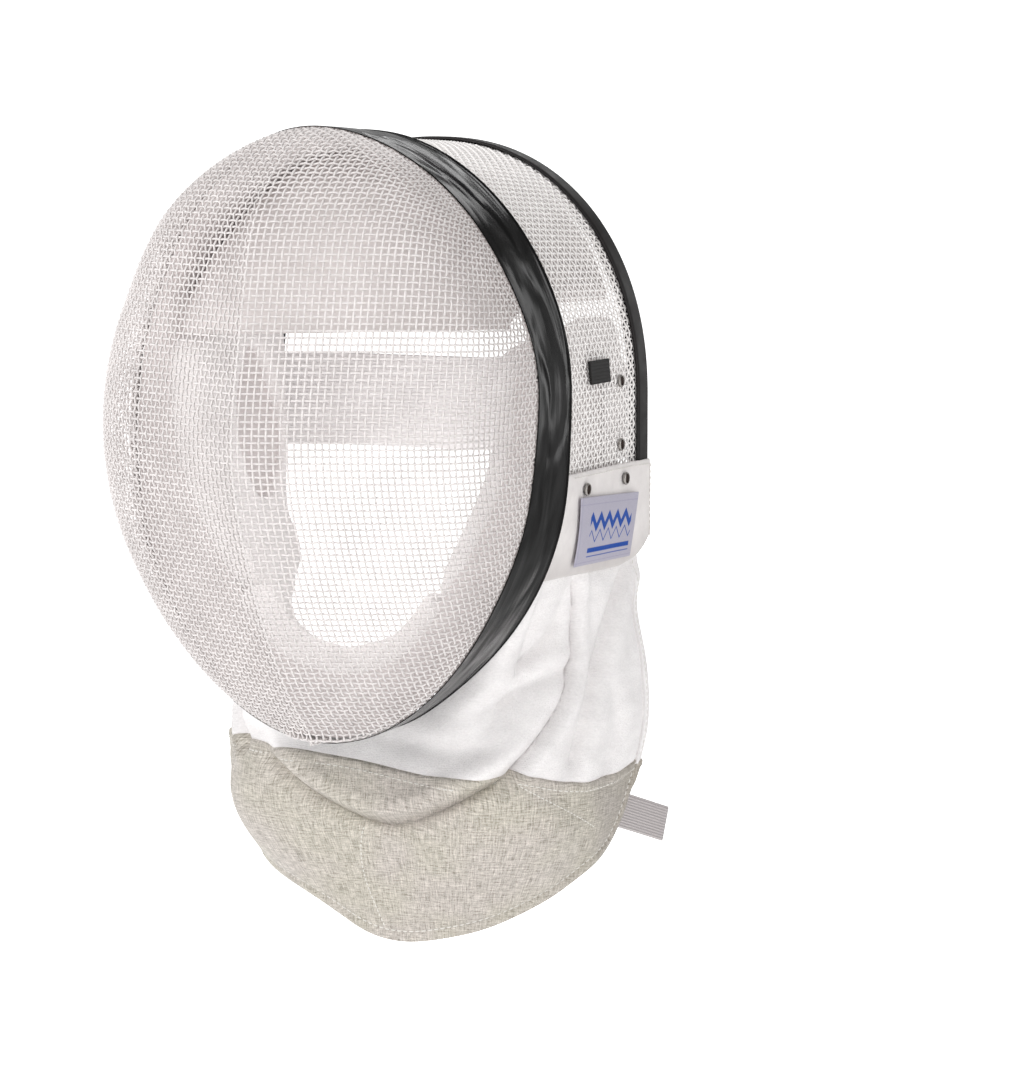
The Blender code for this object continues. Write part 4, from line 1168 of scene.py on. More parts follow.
def fold_relief(azimuth, z):
    """Sum over the folds of a valley and a roll beside it.

    With d the signed distance to the fold's curve and o the distance past its ends, the
    valley is -depth exp(-(d / w)^2 - (o / 1.5 w)^2) and the roll beside it is its height
    times exp(-((d - 1.7 w) / 1.2 w)^2 - (o / 2 w)^2).
    """
    along = np.linspace(0, 1, 41)
    place = np.stack(np.broadcast_arrays(np.radians(azimuth) * FOLD_RADIUS, z), -1)
    total = np.zeros(place.shape[:-1])
    for row in FOLDS:
        depth, width, roll, repeated = row[6:]
        for side in ((1, -1) if repeated else (1,)):
            through = row[:6].reshape(3, 2) * [side * np.radians(FOLD_RADIUS), 1]
            curve = np.stack([bent(*through[:, i], along) for i in (0, 1)], -1)
            tangent = unit(np.gradient(curve, axis=0))
            offset = place[..., None, :] - curve
            nearest = np.linalg.norm(offset, axis=-1).argmin(-1)
            offset = np.take_along_axis(offset, nearest[..., None, None], -2)[..., 0, :]
            t = tangent[nearest]
            sideways = (t[..., 0] * offset[..., 1] - t[..., 1] * offset[..., 0]) * side
            at_end = (nearest == 0) | (nearest == len(along) - 1)
            past = np.where(at_end, (t * offset).sum(-1), 0.0)
            roll_at = (sideways * np.sign(roll) - 1.7 * width) / (1.2 * width)
            total += np.abs(roll) * np.exp(-roll_at ** 2 - (past / (2 * width)) ** 2)
            total -= depth * np.exp(-(sideways / width) ** 2 - (past / (1.5 * width)) ** 2)
    return total


def bib_point(azimuth, z, depth=0.0):
    """A point of the bib this deep under its outer face, with its folds and slow waves."""
    _, top_z = bib_top(azimuth)
    free = np.clip((top_z - z) / FOLD_FREE_FROM, 0, 1)
    waves = 0.35 * np.sin(azimuth / 7.0 + z / 23.0) * np.sin(z / 16.0 + azimuth / 31.0)
    radius = bib_radius(azimuth, z) + (fold_relief(azimuth, z) + waves) * free - depth
    turn = np.radians(azimuth)
    return np.stack([radius * np.sin(turn), NECK_Y - radius * np.cos(turn), z], -1)


# %% [markdown]
# ## The bib's two cloths
# The upper part is white padded cloth and the lower part is grey cloth woven with metal
# thread. Each is a wall with soft edges. Both have a turned hem at the rear edge, and the
# lower part has one along the bottom, where the cloth lies double and is a little thicker,
# with a shallow groove where the stitches pull it in.


# %% Bib walls
HEM_WIDTH, HEM_RISE, SEAM_OVERLAP = 5.2, 0.7, 5.0
LINING_SHIFT = 1000.0
BIB_COLUMNS, BIB_ROWS, BIB_ROUND, BIB_DEEP = 181, 60, 320.0, 70.0
GROOVE_DEPTH, GROOVE_WIDTH = 0.8, 0.9


def hem_rise(away):
    """Extra height of a hem: 0.7 mm to the stitches, and a groove 0.8 mm deep at them."""
    return (HEM_RISE * np.clip(HEM_WIDTH - away, 0, 1)
            - GROOVE_DEPTH * np.exp(-((away - HEM_WIDTH) / GROOVE_WIDTH) ** 2))


def slant(z, azimuth):
    """How much longer a line on the bib is than its level run: sqrt(1 + slope ** 2)."""
    slope = np.gradient(z, azimuth) / np.radians(1) / FOLD_RADIUS
    return np.sqrt(1 + slope ** 2)


def bib_cloth(name, top, bottom, soft, hem_below):
    """A wall of the bib between two heights for each azimuth."""
    azimuth = (crowded(BIB_COLUMNS, soft, BIB_ROUND) * 2 - 1)[None, :] * 90
    down = crowded(BIB_ROWS, soft, BIB_DEEP)[:, None]
    top, bottom = top(azimuth), bottom(azimuth)
    z = top + (bottom - top) * down
    azimuth = azimuth + 0 * z
    middle = bib_point(azimuth, z, BIB_THICKNESS / 2)
    radius = np.hypot(middle[..., 0], middle[..., 1] - NECK_Y)
    rear = np.radians(90 - np.abs(azimuth)) * radius
    rise = BIB_THICKNESS / 2 - 0.45 + hem_rise(rear)
    if hem_below:
        rise = rise + hem_rise((z - bottom) / slant(bottom[0], azimuth[0]))
        rise = rise + HEM_RISE * np.clip((SEAM_OVERLAP - (top - z)) / 1.5, 0, 1)
    flat = np.stack([np.radians(azimuth) * FOLD_RADIUS, z], -1)
    return cloth_wall(name, middle, rise, flat, soft, inner_shift=LINING_SHIFT)


def seam_height(azimuth):
    """z of the seam between the two cloths."""
    return smooth(*SEAM_TABLE.T, azimuth)


def hem_height(azimuth):
    """z of the bib's lower edge."""
    return smooth(*HEM_TABLE.T, azimuth)


white_bib = bib_cloth("bib_white", lambda a: bib_top(a)[1], seam_height, 1.8, False)
grey_bib = bib_cloth("bib_grey", lambda a: seam_height(a) + 1.2, hem_height, 1.5, True)

# %% [markdown]
# ## Cloth finishes
# The white cloth is a tight plain weave with a soft sheen. The grey cloth is a coarser,
# linen-like weave of steel and nylon thread: its colour changes from thread to thread in
# both directions, and some threads shine. Stretched noise along u and along v, the two
# directions of the UV map, gives threads that are each a little different.

# %% White cloth and grey conductive cloth
cotton = Recipe("white_padded_cloth", Roughness=0.75, Sheen_Weight=0.25, Sheen_Roughness=0.4)
lined = cotton.maths("GREATER_THAN", cotton.along_surface(0), LINING_SHIFT / 2)
uneven = cotton.surface_noise((0.06, 0.09, 1), 4.0, 0.6)
fluff = cotton.surface_noise((0.8, 1.1, 1), 4.0, 0.75)
shade = cotton.span(cotton.weighed((fluff, 0.5), (uneven, 0.5)), 0.34, 0.66)
white = cotton.blend(shade, (0.74, 0.715, 0.715), (0.94, 0.915, 0.91))
cotton.set("Base Color", cotton.blend(lined, white, (0.60, 0.55, 0.545)))
woven = cotton.bump(weave(cotton, 1.25), 0.0002, 0.5)
cotton.set("Normal", cotton.bump(fluff, 0.0009, 0.5, Normal=woven))

linen = Recipe("grey_conductive_cloth", Metallic=0.3, Sheen_Weight=0.15)
level_threads = linen.surface_noise((0.15, 1.4, 1), 3.0, 0.75)
upright_threads = linen.surface_noise((1.4, 0.13, 1), 3.0, 0.75)
slubs = linen.surface_noise((1.6, 1.6, 1), 2.0, 0.7)
shade = linen.weighed((slubs, 0.2), (level_threads, 0.4), (upright_threads, 0.4))
patches = linen.span(linen.surface_noise((0.02, 0.03, 1), 2.0, 0.5), 0.4, 0.6)
dark_thread = linen.blend(patches, (0.19, 0.165, 0.135), (0.185, 0.165, 0.12))
pale_thread = linen.blend(patches, (0.76, 0.705, 0.655), (0.75, 0.705, 0.63))
# Painted shade: the cloth darkens towards its rear corners, where the light falls off.
painted_rear_shade = linen.span(linen.along_object(1), 0.0, 0.05, 0.0, 0.38)
unshaded_cloth = linen.blend(linen.span(shade, 0.38, 0.62), dark_thread, pale_thread)
linen.set("Base Color", linen.blend(painted_rear_shade, unshaded_cloth, (0.20, 0.165, 0.125)))
linen.set("Roughness", linen.span(shade, 0.35, 0.65, 0.42, 0.62))
raised_threads = linen.bump(shade, 0.0007, 0.6)
linen.set("Normal", linen.bump(weave(linen, 1.1), 0.0002, 0.45, Normal=raised_threads))
finish(white_bib, cotton.material, "white_cloth", "bib_upper")
finish(grey_bib, linen.material, "lame_cloth", "bib_lame")

# %% [markdown]
# ## The bias tape
# A tape is folded over each rear edge of the bib and sewn down. Its section is a flat U
# given as distance in from the edge and height off the bib's middle surface, and each
# point of it is looked up on the bib, so the tape follows every fold.

# %% Tape on the rear edges
TAPE_PROFILE = np.array([
    # distance in from the edge, height off the middle
    (4.9, 2.2), (4.9, 2.75), (4.5, 3.1), (3.0, 3.3), (1.2, 3.2), (0.0, 2.7), (-0.8, 1.6),
    (-1.1, 0.0), (-0.8, -1.6), (0.0, -2.7), (1.2, -3.2), (3.0, -3.3), (4.5, -3.1), (4.9, -2.75),
    (4.9, -2.2),
])
TAPE_SIDE_STEP, REAR_RADIUS = 1.2, 100.0
REAR_EDGE_TOP = bib_top(np.array(90.0))[1]

tape_z = np.linspace(REAR_EDGE_TOP - 0.5, -162.5, 90)[:, None]
inward_run, height = TAPE_PROFILE.T
for word, side in SIDES:
    azimuth = side * (90 - np.degrees(inward_run[None] / REAR_RADIUS))
    rings = bib_point(azimuth, tape_z + 0 * azimuth, BIB_THICKNESS / 2 - height[None])
    tape = lay_strip(f"tape_{word}", rings, tape_z[:, 0],
                     TAPE_SIDE_STEP * np.arange(len(TAPE_PROFILE) + 1))
    finish(tape, cotton.material, "white_cloth")

# %% [markdown]
# ## Stitches
# A row of stitches is one mesh of short, blunt threads laid end to end along a line on
# the cloth. Each is a five-sided tube whose middle bows up from the cloth and whose ends
# dip into it, so the thread looks pulled tight.

# %% Rows of stitches
STITCH_POINTS = np.array([0.0, 0.12, 0.5, 0.88, 1.0])
STITCH_RADII = np.array([0.45, 0.9, 1.0, 0.9, 0.45])
SEAM_STITCHES_BELOW, TAPE_STITCHES_IN = 3.4, 3.6
PANEL_STITCHES_BELOW, PANEL_STITCHES_AHEAD = 2.0, 2.2


def stitch_row(name, line, normal, slot, length=2.3, space=0.8, thread=0.28):
    """Threads along a line of points: height = thread (1 - (2 s - 1)^4), s from 0 to 1."""
    run = run_along(line)
    start = np.arange(0, run[-1] - length, length + space)
    at = start[:, None] + STITCH_POINTS * length
    middle, up = read_line(line, run, at), unit(read_line(normal, run, at))
    beside = np.cross(unit(middle[:, -1:] - middle[:, :1]), up)
    bow = thread * (1 - (2 * STITCH_POINTS - 1) ** 4) - 0.5 * thread
    rings = rings_round(middle + up * bow[:, None], up, beside,
                        thread * STITCH_RADII[:, None, None])
    steps = len(STITCH_POINTS)
    one = grid_quads(steps, TUBE_SIDES, wrap_columns=True)[0]
    first = np.arange(len(start))[:, None] * steps * TUBE_SIDES
    side = np.arange(TUBE_SIDES)
    faces = (one.ravel() + first).reshape(-1, 4)
    caps = np.concatenate([side[::-1] + first, side + (steps - 1) * TUBE_SIDES + first])
    return finish(lay_mesh(name, rings, faces, caps=caps), thread_finish.material, slot)


def on_bib(azimuth, z, lift=0.0, step=0.3):
    """Points on the bib's outer face along a line, with the normals there."""
    azimuth, z = np.broadcast_arrays(np.asarray(azimuth, float), z)
    face = bib_point(azimuth, z, -lift)
    beside = bib_point(azimuth + step, z, -lift) - bib_point(azimuth - step, z, -lift)
    above = bib_point(azimuth, z + step, -lift) - bib_point(azimuth, z - step, -lift)
    return face, facing_away(unit(np.cross(beside, above)), face, [0, NECK_Y, 0])


def on_panel(y, z, sunk=0.1, step=0.5):
    """Points on the left panel's outer face along a line, with the normals there."""
    y, z = np.broadcast_arrays(y, z)

    def face_at(y, z):
        return side_surface(z, y, panel_rise(y) + PANEL_THICKNESS - sunk)

    face = face_at(y, z)
    beside, above = face_at(y + step, z) - face, face_at(y, z + step) - face
    normal = unit(np.cross(beside, above))
    return face, normal * np.sign(normal[:, :1])


# %% Stitches on the bib
thread_finish = Recipe("pale_thread", Roughness=0.6)
twist = thread_finish.object_noise(3000.0, 2.0)
thread_finish.set("Base Color", thread_finish.blend(twist, (0.58, 0.56, 0.52), (0.80, 0.78, 0.74)))

sweep, down = np.linspace(-88.5, 88.5, 700), np.linspace(0, 1, 120)
hem_z, seam_z = hem_height(sweep), seam_height(sweep)
hem_line = on_bib(sweep, hem_z + HEM_WIDTH * slant(hem_z, sweep), -0.75)
stitch_row("stitches_hem", *hem_line, "lame_cloth", thread=0.36)
stitch_row("stitches_seam", *on_bib(sweep, seam_z - SEAM_STITCHES_BELOW, -0.25), "lame_cloth",
           thread=0.34)
centre = on_bib(bent(-2.4, -5.7, -0.9, down), -187.0 - 51.0 * down, -0.45)
stitch_row("stitches_centre", *centre, "lame_cloth", 1.8, 0.6, 0.32)
down_edge = np.linspace(REAR_EDGE_TOP - 3, -160.0, 300)
for word, side in SIDES:
    edge = on_bib(side * (90 - np.degrees(TAPE_STITCHES_IN / REAR_RADIUS)), down_edge, 0.75)
    stitch_row(f"stitches_tape_{word}", *edge, "white_cloth", 2.0, 0.9, 0.2)

# %% Stitches on the panels, and the dart
panel_top = on_panel(np.linspace(46.0, 130.0, 200), PANEL_TOP_Z - PANEL_STITCHES_BELOW)
panel_rear = on_panel(PANEL_REAR_Y - PANEL_STITCHES_AHEAD, np.linspace(-19.0, -54.0, 120))
for word, side in SIDES:
    for place, (face, out) in (("top", panel_top), ("rear", panel_rear)):
        stitch_row(f"stitches_panel_{place}_{word}", face * [side, 1, 1], out * [side, 1, 1],
                   "white_vinyl", 2.0, 1.0, 0.22)
dart = on_bib(bent(42.1, 51.2, 67.2, down), bent(-163.5, -173.1, -188.3, down), -0.45)
stitch_row("stitches_dart", *dart, "lame_cloth", 1.8, 0.6, 0.3)

# %% [markdown]
# ## The lining pads
# Foam pads covered with pale towelling line the cheeks and the chin, and a broad pad runs
# under the crown and turns down over the brow. Their middle surfaces come from a short
# table, and soft thick edges make them look stuffed.

# %% Cheek and chin pads
LINING_FRONT_Y = 10.0
LINING_TABLE = np.array([
    # front x, front z, rear x, rear z, rear y
    (92.0, 42.0, 91.5, 42.0, 121.0),
    (91.0, 12.0, 91.6, 12.0, 121.0),
    (88.0, -12.0, 91.6, -12.0, 121.0),
    (78.0, -37.0, 91.6, -37.0, 121.0),
    (64.0, -62.0, 91.0, -61.0, 121.0),
    (49.0, -84.0, 89.0, -86.0, 118.0),
    (28.0, -105.0, 61.0, -108.5, 88.0),
    (0.0, -113.0, 0.0, -119.0, 60.0),
])
LINING_SPLIT, LINING_CLEARANCE = 5, 4.5
LINING_FRONT_THICKNESS, LINING_REAR_THICKNESS = 16.0, 6.5
LINING_MIDDLE = np.array([0.0, 60.0, -20.0])
MOST_FILL = 11.0
PAD_LIFT = 7.0


def inside_bib(points):
    """Draws points at the bib's height in towards the neck, to clear its inner face."""
    ahead = NECK_Y - points[..., 1]
    azimuth = np.degrees(np.arctan2(points[..., 0], ahead))
    z, (_, top_z) = points[..., 2], bib_top(azimuth)
    limit = bib_radius(azimuth, z) + np.minimum(fold_relief(azimuth, z), 0)
    limit = limit - BIB_THICKNESS - LINING_CLEARANCE
    share = np.minimum(1, limit / np.hypot(points[..., 0], ahead))
    share = 1 - (1 - share) * eased(np.clip((top_z + 4 - z) / 14, 0, 1))
    drawn = points.copy()
    drawn[..., 0] *= share
    drawn[..., 1] = NECK_Y - ahead * share
    return drawn


def fill_to_mesh(outer, row):
    """How much fuller than its solid a cheek pad is, so that it reaches the mesh."""
    x, y, z = np.moveaxis(outer, -1, 0)
    rim_x, _, rim_z = rim(np.arange(-90, 91, 1.0)).T
    shell = np.minimum(side_surface(z, np.maximum(y, BAND_WIDTH), -2.7)[..., 0],
                       np.interp(z, rim_z, rim_x) - 3.6)
    low_end, rear_end = np.clip((4.6 - row) / 1.4, 0, 1), np.clip((120 - y) / 7, 0, 1)
    return np.clip(shell - x, 0, MOST_FILL) * low_end * eased(rear_end)


def evened(grid, rounds):
    """Each inner point moves halfway to the mean of its four neighbours, some rounds over."""
    grid = grid.copy()
    for _ in range(rounds):
        mean = (grid[:-2, 1:-1] + grid[2:, 1:-1] + grid[1:-1, :-2] + grid[1:-1, 2:]) / 4
        grid[1:-1, 1:-1] = (grid[1:-1, 1:-1] + mean) / 2
    return grid


def lining_middle(row, back):
    """Middle surface of the left lining and its half thickness, by table row and depth."""
    count = np.arange(len(LINING_TABLE))
    front_x, front_z, rear_x, rear_z, rear_y = (
        smooth(count, LINING_TABLE[:, i], row) for i in range(5))
    ease = 1 - (1 - back) ** 2
    higher = PAD_LIFT * np.clip(0.9 - row, 0, 1) * np.clip((back - 0.25) / 0.4, 0, 1)
    outer = inside_bib(np.stack([
        front_x + (rear_x - front_x) * ease,
        LINING_FRONT_Y + (rear_y - LINING_FRONT_Y) * back,
        front_z + (rear_z - front_z) * ease + higher], -1))
    thickness = LINING_FRONT_THICKNESS + (
        LINING_REAR_THICKNESS - LINING_FRONT_THICKNESS) * ease
    fuller = fill_to_mesh(outer, row)
    outer = outer + fuller[..., None] * [1, 0, 0]
    thickness = thickness + fuller
    inward = -facing_away(grid_normals(outer), outer, LINING_MIDDLE)
    inward[..., 1] = 0
    return evened(outer + unit(inward) * thickness[..., None] / 2, 6), thickness / 2


def towelling(name, stains, height, strength, *colours, **values):
    """A pad's cloth of short loops, its darker and paler colour mixed by loops and stains.

    A second pair of colours, if given, is for the cloth above the middle of the ears, as painted
    light on a shaded copy.
    """
    cloth = Recipe(name, Roughness=0.9, **values)
    loops = cloth.object_noise(1400.0, 3.0, 0.7)
    stain = cloth.object_noise(stains, 3.0, 0.5)
    shade = cloth.weighed((loops, 0.4), (stain, 0.6))
    colour = cloth.blend(shade, *colours[:2])
    if colours[2:]:
        above = cloth.span(cloth.along_object(2), -0.03, 0.0)
        colour = cloth.blend(above, colour, cloth.blend(shade, *colours[2:]))
    cloth.set("Base Color", colour)
    cloth.set("Normal", cloth.bump(loops, height, strength))
    return cloth.material


towel = towelling("pale_lining_cloth", 26.0, 0.0006, 0.6, (0.82, 0.78, 0.775),
                  (0.92, 0.89, 0.885), Sheen_Weight=0.3)

# %% Cheek pads with a hole for the ear
EAR_PLACE, EAR_SIZE, EAR_LEAN = np.array([0.735, 1.75]), (0.215, 1.4), 0.28
BORDER_MIDDLE, BORDER_HALF, BORDER_POWER = np.array([0.5, 2.41]), np.array([0.5, 2.53]), 9


def ring_round_ear(steps_round):
    """Places (back, row) on rings from the ear hole's rim to the pad's border.

    At angle t the rim is an ellipse that leans, and the border is a rounded box: the point
    where |back - 0.5| / 0.5 and |row - 2.41| / 2.53, each to the power 9, sum to one. A
    halving search finds how far out it lies.
    """
    t = np.linspace(0, 2 * np.pi, steps_round, endpoint=False)[:, None]
    out = np.concatenate([np.cos(t), np.sin(t)], 1)
    ear_rim = EAR_PLACE + EAR_SIZE * (out + EAR_LEAN * np.sin(t) * [1, 0])
    out = out * BORDER_HALF
    low, high = np.zeros(steps_round), np.full(steps_round, 4.0)
    for _ in range(40):
        far = (low + high) / 2
        at = (EAR_PLACE + far[:, None] * out - BORDER_MIDDLE) / BORDER_HALF
        inside = (np.abs(at) ** BORDER_POWER).sum(-1) < 1
        low, high = np.where(inside, far, low), np.where(inside, high, far)
    border = EAR_PLACE + low[:, None] * out
    share = np.concatenate([[0, 0.01, 0.03, 0.06, 0.1], np.linspace(0.15, 0.85, 16),
                            [0.9, 0.94, 0.97, 0.99, 1]])[None, :, None]
    return ear_rim[:, None] * (1 - share) + border[:, None] * share


PAD_POWER = 2.6


def ring_wall(name, middle, half, soft):
    """A closed pad with a hole: rings of points, lifted to both sides by the half thickness.

    The rise is (1 - (1 - d / soft) ** 2.6) ** (1 / 2.6), d being the run to the nearer edge.
    """
    wrapped = np.concatenate([middle[-1:], middle, middle[:1]])
    normal = grid_normals(wrapped)[1:-1]
    run = run_along(middle, 1)
    near = np.clip(np.minimum(run, run[:, -1:] - run) / soft, 0, 1)
    lift = (half * (1 - (1 - near) ** PAD_POWER) ** (1 / PAD_POWER))[..., None] * normal
    rings = np.concatenate([middle + lift, (middle - lift)[:, -2:0:-1]], 1)
    number = grid_quads(*rings.shape[:2], wrap_rows=True, wrap_columns=True)[0]
    return lay_mesh(name, rings, number, crease=75.0)


places = ring_round_ear(120)
row, back = places[..., 1], places[..., 0]
middle, half = lining_middle(row, back)
for word, side in SIDES:
    pad = ring_wall(f"cheek_pad_{word}", middle * [side, 1, 1], half - 0.3, 6.5)
    finish(pad, towel, "pad_cloth", f"side_pad_{word}")

# %% Chin pad
chin_half, back = np.linspace(LINING_SPLIT - 0.3, 7.0, 32), crowded(26, 6.0, 110.0)
middle, half = lining_middle(*np.broadcast_arrays(chin_half[:, None], back[None]))
middle[-1, :, 0] = 0
middle = np.concatenate([middle, middle[-2::-1] * [-1, 1, 1]])
half = np.concatenate([half, half[-2::-1]])
chin = cloth_wall("chin_pad_soft", middle, half + 0.9, run_lengths(middle), 6.0, PAD_POWER)
finish(chin, towel, "pad_cloth", "chin_pad")

# %% Cloth behind the ear holes
# A darker copy of the pale towelling, as painted shade, for the cloth over the joint and the cloth
# behind the ear holes; above the middle of the ears it is paler, as painted light.
shadowed = towelling("painted_shade_lining_cloth", 30.0, 0.0005, 0.5, (0.62, 0.57, 0.565),
                     (0.74, 0.69, 0.68), (0.80, 0.76, 0.75), (0.90, 0.87, 0.86))

# A round patch: a square of points drawn in to a disc, a little wider than the ear hole.
EAR_CLOTH_SPREAD, EAR_CLOTH_DEPTH = 1.12, 5.0
square = np.linspace(-1, 1, 25)
first, second = square[None, :], square[:, None]
disc = np.stack(np.broadcast_arrays(first * np.sqrt(1 - second ** 2 / 2),
                                    second * np.sqrt(1 - first ** 2 / 2)), -1)
row = EAR_PLACE[1] + EAR_CLOTH_SPREAD * EAR_SIZE[1] * disc[..., 1]
back = EAR_PLACE[0] + EAR_CLOTH_SPREAD * EAR_SIZE[0] * (disc[..., 0] + EAR_LEAN * disc[..., 1])
middle, half = lining_middle(row, back)
normal = grid_normals(middle)
normal *= np.sign(normal[..., :1])
middle = middle + normal * (half - EAR_CLOTH_DEPTH)[..., None]
for word, side in SIDES:
    patch = cloth_wall(f"ear_cloth_{word}", middle * [side, 1, 1], 0.5, run_lengths(middle), 0.8)
    finish(patch, shadowed, "pad_cloth")

# %% [markdown]
# The lining's cover runs on past the foam as a flat cloth, which hides the joint of the
# two meshes. It is a strip between two curves: one just inside the band's front edge and
# one on the front outline of the pads.

# %% Lining cloth over the joint
SMOOTHINGS, RIM_HALF_WIDTH = 8, 104.0

top_angles, low_rows = np.linspace(86, 28, 40), np.linspace(0.1, 7.0, 60)
count = np.arange(len(LINING_TABLE))
upper_line = under_band(top_angles, 60.0, -6.8)
out_to = smooth(count, LINING_TABLE[:, 0], low_rows)
lower_line = np.stack([out_to - 3.0 * np.clip(out_to / 20, 0, 1),
                       LINING_FRONT_Y - 0.4 + 0 * low_rows,
                       smooth(count, LINING_TABLE[:, 1], low_rows) + 2.0 * (low_rows > 4)], -1)
inner_line = np.concatenate([upper_line, lower_line])
inner_line = np.concatenate([inner_line, inner_line[-2::-1] * [-1, 1, 1]])
for _ in range(SMOOTHINGS):
    inner_line[1:-1] = (inner_line[:-2] + 2 * inner_line[1:-1] + inner_line[2:]) / 4
height = np.where(inner_line[:, 2] > 0, RIM_TOP, RIM_BOTTOM)
facing = np.degrees(np.arctan2(inner_line[:, 2] / height, inner_line[:, 0] / RIM_HALF_WIDTH))
outer_line = under_band(facing, 3.5, -1.7)
s = crowded(12, 0.8, 20.0)[:, None, None]
middle = outer_line * (1 - s) + inner_line * s
flat = run_lengths(middle)
joint_cloth = cloth_wall("lining_cloth", middle, 0.55, flat, 0.8)
# Painted shade: the joint's cloth takes the darker copy of the towelling.
finish(joint_cloth, shadowed, "pad_cloth")

# %% Crown and brow pad
CROWN_LOWEST_ANGLE, CROWN_INSET, CROWN_THICKNESS = 27.0, 4.5, 8.0
CROWN_REAR_Y, CROWN_TURN_Y = 119.0, 62.0
CROWN_TOP_SHARE, CROWN_REAR_SHARE = 0.8, 0.76
BROW_Z, BROW_TILT, BROW_Y, BROW_POWER = 47.0, 0.04, (12.0, 2.0), 2.6
CHANNEL_ANGLE = 42.0

share = crowded(60, 3.5, 330.0)[:, None]
angles = CROWN_LOWEST_ANGLE + (180 - 2 * CROWN_LOWEST_ANGLE) * share
inset = CROWN_INSET + CROWN_THICKNESS / 2
top = under_band(angles, BAND_WIDTH * CROWN_TOP_SHARE, -inset)
rear = back_surface(angles, CROWN_REAR_SHARE, -inset)
rear[..., 1] = CROWN_REAR_Y
lead = np.concatenate([[0, 0.01, 0.03, 0.06], np.linspace(0.1, 1, 12)])[None, :]
turn_top = top * [1, 0, 1] + [0, CROWN_TURN_Y, 0]
roof = rear * (1 - lead[..., None]) + turn_top * lead[..., None]
drop = np.radians(np.concatenate([np.linspace(0, 84, 40), [86, 87.5, 89, 90]]))[None, 1:]
sine, cosine = np.sin(drop) ** (2 / BROW_POWER), np.cos(drop) ** (2 / BROW_POWER)
away = np.abs(top[..., 0]) / np.abs(top[..., 0]).max()
brow_y = BROW_Y[1] + CROWN_THICKNESS / 2 + (BROW_Y[0] - BROW_Y[1]) * away ** 2
brow_z = BROW_Z + BROW_TILT * top[..., 0]
front = np.stack([top[..., 0] + 0 * drop, CROWN_TURN_Y + (brow_y - CROWN_TURN_Y) * sine,
                  brow_z + (top[..., 2] - brow_z) * cosine], -1)
middle = np.concatenate([roof, front], 1)
channels = 0.7 + 0.3 * np.abs(np.sin(np.radians((angles - 90) * 180 / CHANNEL_ANGLE))) ** 0.5
half = (CROWN_THICKNESS / 2 - 0.3) * channels
crown = cloth_wall("crown_pad_soft", middle, half, run_lengths(middle), 3.5)
# Painted shade: the crown and brow pad takes a darker copy of the pale towelling.
brow = towelling("painted_shade_brow_cloth", 22.0, 0.0006, 0.6, (0.56, 0.515, 0.505),
                 (0.70, 0.655, 0.645))
finish(crown, brow, "pad_cloth", "crown_pad")

# %% [markdown]
# ## The head strap
# A wide elastic runs round the back of the head from one cheek to the other. It is a flat
# strip on a squarish curve, with fine ribs along its length from the rubber threads in it.

# %% Head strap
STRAP_HEIGHT, STRAP_MIDDLE_Z, STRAP_THICKNESS = 45.0, 6.0, 2.0
STRAP_HALF_WIDTH, STRAP_FRONT_Y, STRAP_REAR_Y, STRAP_POWER = 94.1, 98.0, 131.0, 12.0

turn = np.radians(180 * (1 - np.cos(np.linspace(0, np.pi, 121))) / 2)[None, :]
up = crowded(18, 1.0, STRAP_HEIGHT)[:, None] - 0.5
power = 2 / STRAP_POWER
x = STRAP_HALF_WIDTH * np.sign(np.cos(turn)) * np.abs(np.cos(turn)) ** power
y = STRAP_FRONT_Y + (STRAP_REAR_Y - STRAP_FRONT_Y) * np.abs(np.sin(turn)) ** power
outer = np.stack([x + 0 * up, y + 0 * up, STRAP_MIDDLE_Z + STRAP_HEIGHT * up + 0 * turn], -1)
middle = outer - facing_away(grid_normals(outer), outer, HEAD_MIDDLE) * STRAP_THICKNESS / 2
flat = run_lengths(middle)
strap = cloth_wall("strap", middle, STRAP_THICKNESS / 2 - 0.1, flat, 1.0)
elastic = Recipe("woven_elastic", Roughness=0.8)
ribs = ripple(elastic, (0, 0.55, 1))
picks = elastic.surface_noise((1.6, 0.5, 1), 2.0, 0.6)
shade = elastic.maths("MULTIPLY", ribs, picks)
elastic.set("Base Color", elastic.blend(shade, (0.86, 0.835, 0.84), (0.96, 0.94, 0.94)))
elastic.set("Normal", elastic.bump(ribs, 0.0004, 0.6, Normal=elastic.bump(picks, 0.0002, 0.4)))
finish(strap, elastic.material, "strap_elastic", "head_strap")

# %% [markdown]
# ## The tab of webbing
# A short end of ribbed webbing is sewn inside the bib's left rear corner. It is a thin
# strip that leans out and down, with ribs along it.

# %% Tab
TAB_THICKNESS, TAB_LENGTH, TAB_WIDTH = 2.4, 76.0, 17.0
TAB_CENTRE = np.array([88.8, 130.5, -186.5])
flare, slope = np.radians([12.0, 18.0])
along = np.array([np.sin(flare) * np.cos(slope), np.cos(flare) * np.cos(slope), -np.sin(slope)])
normal = np.array([np.cos(flare), -np.sin(flare), 0.0])
upward = np.cross(normal, along)
s = (crowded(40, 0.9, TAB_LENGTH) - 0.5)[None, :, None]
t = (crowded(10, 0.9, TAB_WIDTH) - 0.5)[:, None, None]
middle = (TAB_CENTRE + s * TAB_LENGTH * along + t * TAB_WIDTH * upward
          + 0.15 * np.sin(s * 9) * normal)
tab = cloth_wall("tab", middle, TAB_THICKNESS / 2 - 0.2, run_lengths(middle), 0.9)
webbing = Recipe("ribbed_webbing", Roughness=0.75)
ribs = ripple(webbing, (0, 0.75, 1))
picks = webbing.surface_noise((1.5, 0.9, 1), 2.0, 0.6)
shade = webbing.weighed((ribs, 0.5), (picks, 0.5))
